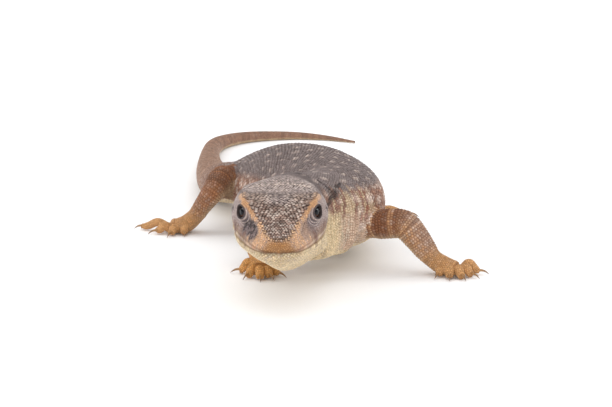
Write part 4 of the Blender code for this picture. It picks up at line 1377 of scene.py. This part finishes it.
# %% Rings of granules on the lids, found by looking straight at each eye
RING_START, RING_GAP = 1.06, 0.2  # in openings
GRANULE = 0.34
RING_MAP = (0.25, 0.5, 0.94, 0.063)  # the rings on the map: x, how far on the other eye's are, y, and radius


def place_on_head(places):
    """The u and v of the nearest points of the head's fine grid."""
    rows = int(np.searchsorted(SPINE.along, HEAD_END))
    grid = SPINE.points[:rows].reshape(-1, 3)
    nearest = np.array([np.argmin(((grid - place) ** 2).sum(axis=1)) for place in places])
    row, column = np.divmod(nearest, len(SPINE.around))
    return SPINE.along[row], SPINE.around[column]


def add_lid_rings(piece, shape):
    for number, side in enumerate(SIDES):
        centre, axes = eye_frame(side)
        for ring in np.arange(RING_START, RING_END, RING_GAP):
            reach = np.array(LID_OPENING) * ring
            count = round(math.pi * reach.sum() / GRANULE)
            turn = 2.0 * math.pi * (np.arange(count) + 0.5 * (round(ring / RING_GAP) % 2)) / count
            rays = centre + 8.0 * axes[0] + np.outer(np.cos(turn) * reach[0], axes[1])
            rays += np.outer(np.sin(turn) * reach[1], axes[2])
            hits = [SOFT_TREE.ray_cast(ray.tolist(), (-axes[0]).tolist(), 12.0) for ray in rays]
            found = np.array([hit[2] is not None for hit in hits])
            places = np.array([hit[0] if hit[0] is not None else centre for hit in hits])
            found &= (places - centre) @ axes[0] > RING_AHEAD - 0.2
            outward = np.array([hit[1] if hit[1] is not None else axes[0] for hit in hits])
            away = unit(places - centre - np.outer((places - centre) @ axes[0], axes[0]))
            paint = body_paint(*place_on_head(places), places)
            grey = lid_grey(places)
            # Painted shade in the troughs of the fine folds round the eyes, and a painted highlight on their
            # crests.
            in_a_fold = math.cos(2.0 * math.pi * (ring - FOLD_START) / FOLD_SPACING) < 0.0
            paint["dark"] += grey * (0.4 if in_a_fold else 0.0) * (1.0 - 0.4 * (ring > 1.8))
            if ring < RING_START + 0.5 * RING_GAP:
                paint["dark"] = np.full(count, 0.8)
            paint["pale"] += grey * (0.0 if in_a_fold else 0.5)
            map_x, apart, map_y, radius = RING_MAP
            radius *= ring / RING_END
            chart = on_the_map(map_x + apart * number + radius * np.cos(turn), map_y + radius * np.sin(turn))
            size = np.stack((
                np.full(count, OVERLAP * math.pi * reach.sum() / count),
                np.full(count, OVERLAP * RING_GAP * reach.mean() / ring), np.full(count, 0.13),
            ), axis=1)
            add_batch(piece, shape, found, places, outward, away, size, chart, paint)


add_lid_rings("face_scales", "granule")


# %% Granules where neither rows nor rings reach, on the fold between lid and crown
BARE_GAP = 0.46  # mm from the nearest scale that leaves room for one more
BARE_FIELD = (2.0, -2.6)  # where it looks: how far past the lid's ball, and how far ahead of its centre
BARE_RISE = 0.14


def fill_bare(piece, shape):
    rooted = np.concatenate([
        batch["roots"] for name in ("crown_scales", "face_scales") for batch in coat[name][1]
    ])
    for side in SIDES:
        centre, _ = eye_frame(side)
        around_eye, ahead, _ = eye_distance(SOFT, side)
        field = (around_eye > RING_START + RING_GAP) & (ahead > BARE_FIELD[1])
        field &= np.linalg.norm(SOFT - centre, axis=1) < LID_RADIUS + BARE_FIELD[0]
        chosen = []
        for index in np.flatnonzero(field):
            if ((rooted - SOFT[index]) ** 2).sum(axis=1).min() > BARE_GAP ** 2:
                rooted = np.concatenate((rooted, SOFT[index][None]))
                chosen.append(index)
        places, all_of_them = SOFT[chosen], np.ones(len(chosen), dtype=bool)
        u, v = place_on_head(places)
        size = np.tile((BARE_GAP, BARE_GAP, BARE_RISE), (len(chosen), 1))
        add_batch(
            piece, shape, all_of_them, places, SOFT_OUT[chosen], unit(places - centre), size,
            body_chart(u, v), body_paint(u, v, places),
        )
        print("bare places filled by an eye:", len(chosen))


fill_bare("face_scales", "granule")


# %% Rows on the limbs, feet and toes
def add_tube(piece, shape, rows, start, end, scale, corner, paint_at):
    """Scales on a stretch of a tube, with its own corner of the piece's map."""
    reach = length_of(rows)
    wrap = Wrap(
        np.linspace(0.0, reach, max(8, round(reach / 0.3))),
        lambda along, around: limb_points(rows, along, around, -SKIN_DEPTH),
    )
    long, widen, raise_by = scale
    u, v, length, width = place_rows(
        wrap, start * reach, end * reach, 0.0, 1.0, lambda u: long, lambda u: widen * long
    )
    places = wrap.read(wrap.points, u, v)
    places[:, 2] = np.maximum(places[:, 2], SKIN_DEPTH)
    x, y, wide_share, high_share = corner
    chart = on_the_map(x + wide_share * (v + 1.0) / 2.0, y + high_share * (u - u.min()) / np.ptp(u))
    back = unit(wrap.read(wrap.back, u, v))
    add_scales(piece, shape, places, back, length, width, raise_by * long, chart, paint_at(u / reach, v))


SHOULDER, FOOT_FROM = 0.12, 0.8  # where the scales of a limb and of its foot begin, along it
WHOLE_MAP, LEFT_HALF = (0.0, 0.0, 1.0, 1.0), (0.0, 0.0, 0.5, 1.0)
for name, rows in LIMBS.items():
    foot = f"{name}_foot_scales"
    paint_at = lambda t, v: limb_paint(name, t, v)
    paint_toe = lambda t, v: toe_paint(name, t, v)
    add_tube(f"{name}_scales", "keeled", rows, SHOULDER, FOOT_FROM, LIMB_SCALE, WHOLE_MAP, paint_at)
    add_tube(foot, "granule", rows, FOOT_FROM, 1.0, FOOT_SCALE, LEFT_HALF, paint_at)
    for number, toe in enumerate(TOES[name]):
        corner = (0.52, 0.2 * number, 0.46, 0.18)
        add_tube(foot, "granule", toe_rows(toe), 0.0, 1.0, TOE_SCALE, corner, paint_toe)
print({piece: sum(len(part["roots"]) for part in parts) for piece, (_, parts) in coat.items()})

# %% [markdown]
# ## Finishes
#
# One node group mixes the paints in the order that they lie on the animal, ground colour first and dark
# marks last. The scales and the skin between them both use it, and it paints shade into the grooves: each
# scale darkens towards its foot, and the skin between the scales is a little darker of its own and darker
# still with painted shade. A second group gives fine grain for roughness and bump. Colours are written as a
# painter's 0 to 255 and turned to the linear values that Blender mixes.

# %% Paint colours
def colour(red, green, blue):
    shares = [value / 255.0 for value in (red, green, blue)]
    return (*[s / 12.92 if s <= 0.04045 else ((s + 0.055) / 1.055) ** 2.4 for s in shares], 1.0)


GROUND = colour(130, 118, 116)
# Painted shade: each colour is multiplied by this down in the grooves between scales and on the skin there,
# which is also a little darker of its own.
GROOVE_SHADE = (0.7, 0.62, 0.58, 1.0)  # what is left of each colour down between the scales
PAINT_COLOURS = {
    "tan": colour(168, 136, 114),
    "rust": colour(154, 90, 62),
    "warm": colour(218, 163, 92),
    "buff": colour(222, 178, 132),
    "cream": colour(222, 203, 166),
    "slate": colour(144, 136, 146),
    "pale": colour(228, 210, 198),
    "dark": colour(50, 40, 40),
}


# %% The group that mixes them
def new_group(name, inputs, outputs):
    tree = bpy.data.node_groups.new(name, "ShaderNodeTree")
    for label, kind, value in inputs:
        socket = tree.interface.new_socket(label, in_out="INPUT", socket_type=kind)
        if value is not None:
            socket.default_value = value
    for label, kind in outputs:
        tree.interface.new_socket(label, in_out="OUTPUT", socket_type=kind)
    return tree, add_node(tree, "NodeGroupInput").outputs


HIDE, given = new_group(
    "hide_colours",
    (
        ("Groove Shade", "NodeSocketColor", GROOVE_SHADE), ("Groove Top", "NodeSocketFloat", 0.85),
        ("Blotch", "NodeSocketFloat", 0.25), ("Blotch Scale", "NodeSocketFloat", 1500.0),
    ),
    (("Colour", "NodeSocketColor"), ("Open", "NodeSocketFloat")),
)
mixed = GROUND
for name in PAINTS:
    share = number_named(HIDE, name)
    coat_of = add_node(
        HIDE, "ShaderNodeMix", {"Factor": share, 6: mixed, 7: PAINT_COLOURS[name]}, data_type="RGBA"
    )
    mixed = coat_of.outputs[2]
where = add_node(HIDE, "ShaderNodeTexCoord").outputs["Object"]
cloud = add_node(HIDE, "ShaderNodeTexNoise", {"Vector": where, "Scale": given["Blotch Scale"], "Detail": 3.0})
swing = maths(HIDE, "MULTIPLY", maths(HIDE, "SUBTRACT", cloud.outputs["Fac"], 0.5), given["Blotch"])
level = maths(HIDE, "ADD", number_named(HIDE, "tone"), swing)
# Painted shade in the grooves: the colour darkens from each scale's top down to its foot by its rise. The
# skin between scales has no rise and takes the whole shade.
rise = number_named(HIDE, "rise")
open_top = add_node(
    HIDE, "ShaderNodeMapRange", {"Value": rise, "From Min": 0.3, "From Max": given["Groove Top"]},
    interpolation_type="SMOOTHSTEP",
).outputs["Result"]
left = add_node(
    HIDE, "ShaderNodeMix", {"Factor": open_top, 6: given["Groove Shade"], 7: (1.0, 1.0, 1.0, 1.0)}, data_type="RGBA"
).outputs[2]
lit = add_node(HIDE, "ShaderNodeVectorMath", {0: mixed, 1: left}, operation="MULTIPLY").outputs["Vector"]
shaded = add_node(HIDE, "ShaderNodeVectorMath", {0: lit, "Scale": level}, operation="SCALE")
add_node(HIDE, "NodeGroupOutput", {"Colour": shaded.outputs["Vector"], "Open": open_top})

# %% Fine grain
GRAIN, given = new_group(
    "fine_grain",
    (
        ("Scale", "NodeSocketFloat", 5000.0), ("Roughness", "NodeSocketFloat", 0.5),
        ("Change", "NodeSocketFloat", 0.2),
    ),
    (("Roughness", "NodeSocketFloat"), ("Height", "NodeSocketFloat")),
)
where = add_node(GRAIN, "ShaderNodeTexCoord").outputs["Object"]
grain = add_node(GRAIN, "ShaderNodeTexNoise", {"Vector": where, "Scale": given["Scale"], "Detail": 2.0})
swing = maths(GRAIN, "MULTIPLY", maths(GRAIN, "SUBTRACT", grain.outputs["Fac"], 0.5), given["Change"])
rough = maths(GRAIN, "ADD", given["Roughness"], swing)
add_node(GRAIN, "NodeGroupOutput", {"Roughness": rough, "Height": grain.outputs["Fac"]})


# %% Materials for hide
def new_material(name):
    material = bpy.data.materials.new(name)
    material.use_nodes = True
    return material, material.node_tree, material.node_tree.nodes["Principled BSDF"]


def use_group(tree, group, inputs):
    made = tree.nodes.new("ShaderNodeGroup")
    made.node_tree = group
    for key, value in inputs.items():
        made.inputs[key].default_value = value
    return made.outputs


def hide_material(name, roughness, grain_scale, grain_height, groove_shade=GROOVE_SHADE, groove_shade_top=0.85):
    material, tree, shader = new_material(name)
    hide = use_group(tree, HIDE, {"Groove Shade": groove_shade, "Groove Top": groove_shade_top})
    grain = use_group(tree, GRAIN, {"Scale": grain_scale, "Roughness": roughness, "Change": 0.25})
    lift = add_node(
        tree, "ShaderNodeBump", {"Height": grain["Height"], "Distance": grain_height * MM, "Strength": 0.6}
    )
    tree.links.new(hide["Colour"], shader.inputs["Base Color"])
    tree.links.new(grain["Roughness"], shader.inputs["Roughness"])
    tree.links.new(lift.outputs["Normal"], shader.inputs["Normal"])
    shader.inputs["Specular IOR Level"].default_value = 0.4
    return material


# Painted shade for the grooves between scales: deep on the crown, light on the neck, the usual amount
# elsewhere.
DEEP_GROOVE_SHADE, SHALLOW_GROOVE_SHADE = (0.15, 0.1, 0.09, 1.0), (0.82, 0.76, 0.73, 1.0)
BETWEEN_SCALES = hide_material("skin_between_scales", 0.75, 9000.0, 0.05)
SCALE_FINISH = {
    "crown": hide_material("crown_scale_horn", 0.34, 7000.0, 0.02, DEEP_GROOVE_SHADE, 1.0),
    "head_skin": hide_material("face_scale_horn", 0.42, 7000.0, 0.02),
    "neck": hide_material("neck_scale_horn", 0.46, 6000.0, 0.02, SHALLOW_GROOVE_SHADE),
    "body_skin": hide_material("body_scale_horn", 0.46, 6000.0, 0.02),
    "tail_skin": hide_material("tail_scale_horn", 0.46, 6000.0, 0.02),
    "leg_skin": hide_material("leg_scale_horn", 0.44, 7000.0, 0.02),
    "foot_skin": hide_material("foot_scale_horn", 0.4, 8000.0, 0.02),
}


# %% [markdown]
# ## Planting the coat
#
# Each piece's roots become a mesh of loose points. Its modifier is given the shape, material and seed by
# the sockets' identifiers, the result is turned into a plain mesh, and the points are thrown away. The
# scales of a sole are pressed flat at the floor, as the animal's weight would press them.

# %% Points to scales
IDENTIFIERS = {item.name: item.identifier for item in PLANT.interface.items_tree if item.in_out == "INPUT"}
FLAT = ("roots", "outward", "backward", "size", "chart")


def joined(parts):
    return {name: np.concatenate([part[name] for part in parts]) for name in parts[0]}


def add_attributes(mesh, values, skip=()):
    for name, value in values.items():
        if name in skip:
            continue
        vector = value.ndim == 2
        layer = mesh.attributes.new(name, "FLOAT_VECTOR" if vector else "FLOAT", "POINT")
        layer.data.foreach_set("vector" if vector else "value", value.astype(np.float32).ravel())


def slot_of(piece):
    if piece.endswith("foot_scales"):
        return "foot_skin"
    if piece.startswith(tuple(LIMBS)):
        return "leg_skin"
    return SLOTS.get(piece.split("_")[0], "body_skin")


def plant(piece, shape, values, seed):
    values["size"] = values["size"] * MM
    points = bpy.data.meshes.new(f"{piece}_roots")
    points.from_pydata(to_metres(values["roots"]).tolist(), [], [])
    add_attributes(points, values, skip=("roots",))
    rooted = bpy.data.objects.new(f"{piece}_roots", points)
    bpy.context.scene.collection.objects.link(rooted)
    tree = rooted.modifiers.new("plant", "NODES")
    tree.node_group = PLANT
    material = SCALE_FINISH.get(piece.split("_")[0], SCALE_FINISH[slot_of(piece)])
    tree[IDENTIFIERS["Scale Shape"]] = PROTOTYPES[shape]
    tree[IDENTIFIERS["Material"]] = material
    tree[IDENTIFIERS["Seed"]] = seed
    mesh = bpy.data.meshes.new_from_object(rooted.evaluated_get(bpy.context.evaluated_depsgraph_get()))
    bpy.data.objects.remove(rooted)
    mesh.materials.clear()
    mesh.materials.append(material)
    mesh.polygons.foreach_set("material_index", np.zeros(len(mesh.polygons), dtype=np.int32))
    mesh.uv_layers.remove(mesh.uv_layers["patch"])
    for name in FLAT[1:]:
        mesh.attributes.remove(mesh.attributes[name])
    place = np.empty(len(mesh.vertices) * 3, dtype=np.float32)
    mesh.vertices.foreach_get("co", place)
    place[2::3] = np.maximum(place[2::3], 0.0)
    mesh.vertices.foreach_set("co", place)
    mesh.update()
    made = bpy.data.objects.new(piece, mesh)
    bpy.context.scene.collection.objects.link(made)
    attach(made, "root")
    return made


# %% The scales of back and face are parted at the middle, into a left and a right piece
def part_by_side(piece):
    shape, parts = coat.pop(piece)
    values = joined(parts)
    left = values["chart"][:, 0] > 0.5
    for end, chosen in (("left", left), ("right", ~left)):
        coat[f"{piece}_{end}"] = (shape, [{name: value[chosen] for name, value in values.items()}])


part_by_side("back_scales")
part_by_side("face_scales")
TONE_SPREAD = {"crown_scales": 0.2}  # how much lighter or darker single scales are, where it isn't 0.12
all_roots = []
for seed, (piece, (shape, parts)) in enumerate(coat.items()):
    values = joined(parts)
    spread = TONE_SPREAD.get(piece, 0.12)
    values["tone"] = 1.0 + spread * RANDOM.standard_normal(len(values["roots"])).clip(-2.0, 2.0)
    all_roots.append({name: values[name] for name in ("roots", *PAINTS)})
    made = plant(piece, shape, values, seed)
    count = sum(len(face.vertices) - 2 for face in made.data.polygons)
    print(f"{piece}: {len(values['roots'])} scales, {count} triangles")

# %% [markdown]
# ## Painting the skin
#
# Each point of the skin takes its paint from the three nearest scale roots, so that what shows between the
# scales always fits them. Where no root is near, inside a nostril, an ear or an eye socket, it is painted
# dark, as shade in those hollows.

# %% The skin's paint
values = joined(all_roots)
tree = KDTree(len(values["roots"]))
for index, root in enumerate(values["roots"]):
    tree.insert(root, index)
tree.balance()
nearest = [tree.find_n(place, 3) for place in SOFT.tolist()]
chosen = np.array([[found[1] for found in group] for group in nearest])
away = np.array([group[0][2] for group in nearest])
skin_paint = {name: values[name][chosen].mean(axis=1) for name in PAINTS}
# Painted shade: the skin inside the nostrils, ears and eye sockets, far from any root, is made dark.
skin_paint["dark"] = np.maximum(skin_paint["dark"], 0.92 * step(0.15, 0.3, away) * is_cut)
skin_paint["tone"] = np.ones(len(SOFT))
add_attributes(skin.data, skin_paint)
skin.data.materials.clear()
skin.data.materials.append(BETWEEN_SCALES)
skin.data.polygons.foreach_set("material_index", np.zeros(len(skin.data.polygons), dtype=np.int32))
skin.data.shade_smooth()
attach(skin, "root")
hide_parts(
    "head", "neck", "trunk", *[f"tail_{number}" for number in range(1, 6)],
    *[f"{name}_{part}" for name in LIMBS for part in ("upper", "lower", "foot")],
)
print("skin triangles:", len(skin.data.polygons))

# %% [markdown]
# ## Eyes
#
# A monitor's eye is nearly black, with a round pupil and a narrow dark brown iris that catches light at
# its lower edge. One ball does for both: the angle from its axis is kept as an attribute and a colour ramp
# reads it. Its wet front mirrors the softboxes as small lights.

# %% The eye's finish
def eye_material():
    material, tree, shader = new_material("wet_eye")
    lines = add_node(tree, "ShaderNodeTexNoise", {"Scale": 30.0, "Detail": 2.0}, noise_dimensions="1D")
    tree.links.new(number_named(tree, "streak"), lines.inputs["W"])
    shift = add_node(
        tree, "ShaderNodeMath", {0: lines.outputs["Fac"], 1: 0.08, 2: number_named(tree, "angle")},
        operation="MULTIPLY_ADD",
    )
    ramp = add_node(tree, "ShaderNodeValToRGB", {"Fac": shift.outputs[0]})
    points = ramp.color_ramp.elements
    points[0].position, points[0].color = 0.0, colour(5, 6, 12)
    points[1].position, points[1].color = 1.0, colour(20, 15, 14)
    for place, paint in ((0.4, (5, 6, 12)), (0.45, (70, 42, 28)), (0.58, (52, 32, 24)), (0.7, (16, 13, 14))):
        points.new(place).color = colour(*paint)
    tree.links.new(ramp.outputs["Color"], shader.inputs["Base Color"])
    shader.inputs["Roughness"].default_value = 0.05
    shader.inputs["Specular IOR Level"].default_value = 0.2
    return material


# %% The eyeballs
WET_EYE = eye_material()
GAZE_UP = 0.22  # how far the pupil looks up, so that some iris shows below it
for name, side in (("eye_right", -1.0), ("eye_left", 1.0)):
    eye = new_object(f"{name}_ball", eye_ball(side, (EYE_RADIUS,) * 3, segments=72, rings=48))
    centre, axes = eye_frame(side)
    gaze = axes_from(axes[0] + GAZE_UP * axes[2], axes[1])
    local = (in_millimetres(eye.data.vertices) - centre) @ gaze.T / EYE_RADIUS
    add_attributes(eye.data, {
        "angle": np.arccos(np.clip(local[:, 0], -1.0, 1.0)) / (0.5 * math.pi),
        "streak": np.arctan2(local[:, 1], local[:, 2]) / math.pi,
    })
    eye.data.materials.append(WET_EYE)
    eye.data.shade_smooth()
    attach(eye, "root")
    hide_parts(name)

# %% [markdown]
# ## Claws
#
# Thin, curved and grey-brown, paler at the root. Each is a tube that thins to a point and bends down to the
# floor, set a little into its toe.

# %% The claw's finish
def claw_material():
    material, tree, shader = new_material("claw_horn")
    ramp = add_node(tree, "ShaderNodeValToRGB", {"Fac": number_named(tree, "along")})
    ramp.color_ramp.elements[0].color = colour(186, 142, 92)
    ramp.color_ramp.elements[1].color = colour(112, 84, 62)
    grain = use_group(tree, GRAIN, {"Scale": 4000.0, "Roughness": 0.3, "Change": 0.15})
    tree.links.new(ramp.outputs["Color"], shader.inputs["Base Color"])
    tree.links.new(grain["Roughness"], shader.inputs["Roughness"])
    return material


# %% Twenty claws
CLAW_SINK = 0.7  # how far a claw's root reaches into its toe
CLAW_SHAPE = (  # how far along, how high in toe thicknesses, and its size
    (0.0, 0.95, 0.9), (0.3, 1.02, 0.9), (0.6, 0.86, 0.66), (0.85, 0.5, 0.38), (1.0, 0.18, 0.1)
)
CLAW_WIDE, CLAW_DEEP = 0.56, 0.75  # beside the solid claw's radius
CLAW_HORN = claw_material()
for limb, toes in TOES.items():
    for number, (base_x, base_y, tip_x, tip_y, thickness, _) in enumerate(toes, start=1):
        tip, base = np.array((tip_x, tip_y)), np.array((base_x, base_y))
        way = unit(tip - base)
        full = CLAW_LENGTH + CLAW_SINK
        rows = []
        for share, height, size in CLAW_SHAPE:
            x, y = tip - (1.0 - share) * full * way
            wide, deep = CLAW_WIDE * size * CLAW_RADIUS, CLAW_DEEP * size * CLAW_RADIUS
            rows.append((x, y, max(height * thickness, 0.1), wide, deep))
        reach = length_of(rows)
        grid = limb_points(rows, np.linspace(0.0, reach, 14), ring_places(12))
        grid[..., 2] = np.maximum(grid[..., 2], 0.0)
        claw = new_object(f"{limb}_claw_{number}_horn", loft(grid))
        place = in_millimetres(claw.data.vertices)
        add_attributes(claw.data, {"along": np.clip(1.0 - (tip - place[:, :2]) @ way / full, 0.0, 1.0)})
        claw.data.materials.append(CLAW_HORN)
        claw.data.shade_smooth()
        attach(claw, "root")
        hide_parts(f"{limb}_claw_{number}")

# %% [markdown]
# ## Floor, light and camera
#
# The animal stands on a white table under large soft lights, with no edge between floor and background.
# Its wet eyes and dry scales would mirror that whiteness as a grey haze, so glossy rays see a dimmer
# world, which is what black cards round the table would do. The camera is low and close to the snout, with
# a long lens, as a portrait is taken.

# %% The floor
def new_floor():
    mesh = bpy.data.meshes.new("floor")
    shaped = bmesh.new()
    bmesh.ops.create_grid(shaped, x_segments=1, y_segments=1, size=6.0)
    shaped.to_mesh(mesh)
    shaped.free()
    floor = bpy.data.objects.new("floor", mesh)
    bpy.context.scene.collection.objects.link(floor)
    material, _, shader = new_material("white_table")
    shader.inputs["Base Color"].default_value = (0.95, 0.95, 0.952, 1.0)
    shader.inputs["Roughness"].default_value = 0.9
    shader.inputs["Specular IOR Level"].default_value = 0.1
    mesh.materials.append(material)


# %% Lights
def new_light(name, place, target, size, power):
    light = bpy.data.lights.new(name, "AREA")
    light.shape = "RECTANGLE"
    light.size, light.size_y = size
    light.energy = power
    made = bpy.data.objects.new(name, light)
    bpy.context.scene.collection.objects.link(made)
    made.location = place
    way = np.array(target) - np.array(place)
    made.rotation_mode = "XYZ"
    made.rotation_euler = (
        math.atan2(math.hypot(way[0], way[1]), -way[2]), 0.0, math.atan2(way[1], way[0]) - math.pi / 2
    )


def new_world(strength, mirrored):
    world = bpy.data.worlds.new("studio")
    world.use_nodes = True
    world.node_tree.nodes["Background"].inputs["Color"].default_value = (1.0, 1.0, 1.0, 1.0)
    ray = add_node(world.node_tree, "ShaderNodeLightPath").outputs["Is Glossy Ray"]
    levels = {"Value": ray, "To Min": strength, "To Max": mirrored * strength}
    dim = add_node(world.node_tree, "ShaderNodeMapRange", levels)
    world.node_tree.links.new(dim.outputs["Result"], world.node_tree.nodes["Background"].inputs["Strength"])
    bpy.context.scene.world = world


WORLD_STRENGTH, MIRRORED_SHARE = 1.08, 0.35
new_floor()
new_world(WORLD_STRENGTH, MIRRORED_SHARE)
new_light("top_softbox", (-0.05, 0.1, 0.9), (0.0, -0.02, 0.0), (0.8, 0.8), 1.0)
new_light("front_softbox", (-0.05, -0.9, 0.32), (0.0, -0.1, 0.01), (0.5, 0.3), 1.4)
new_light("left_softbox", (-0.75, 0.05, 0.34), (0.0, -0.1, 0.02), (0.08, 0.13), 1.0)
new_light("right_softbox", (0.78, 0.12, 0.2), (0.0, -0.1, 0.02), (0.08, 0.13), 1.0)
bpy.context.scene.view_settings.view_transform = "Standard"

# %% The camera
CAMERA_PLACE = (0.0006, -0.56135, 0.1219)
CAMERA_TILT = math.radians(78.0)
LENS = 125.6
camera = bpy.data.objects.new("camera", bpy.data.cameras.new("camera"))
bpy.context.scene.collection.objects.link(camera)
camera.location = CAMERA_PLACE
camera.rotation_euler = (CAMERA_TILT, 0.0, 0.0)
camera.data.lens = LENS
camera.data.sensor_width = 36.0
camera.data.clip_start = 0.01
bpy.context.scene.camera = camera
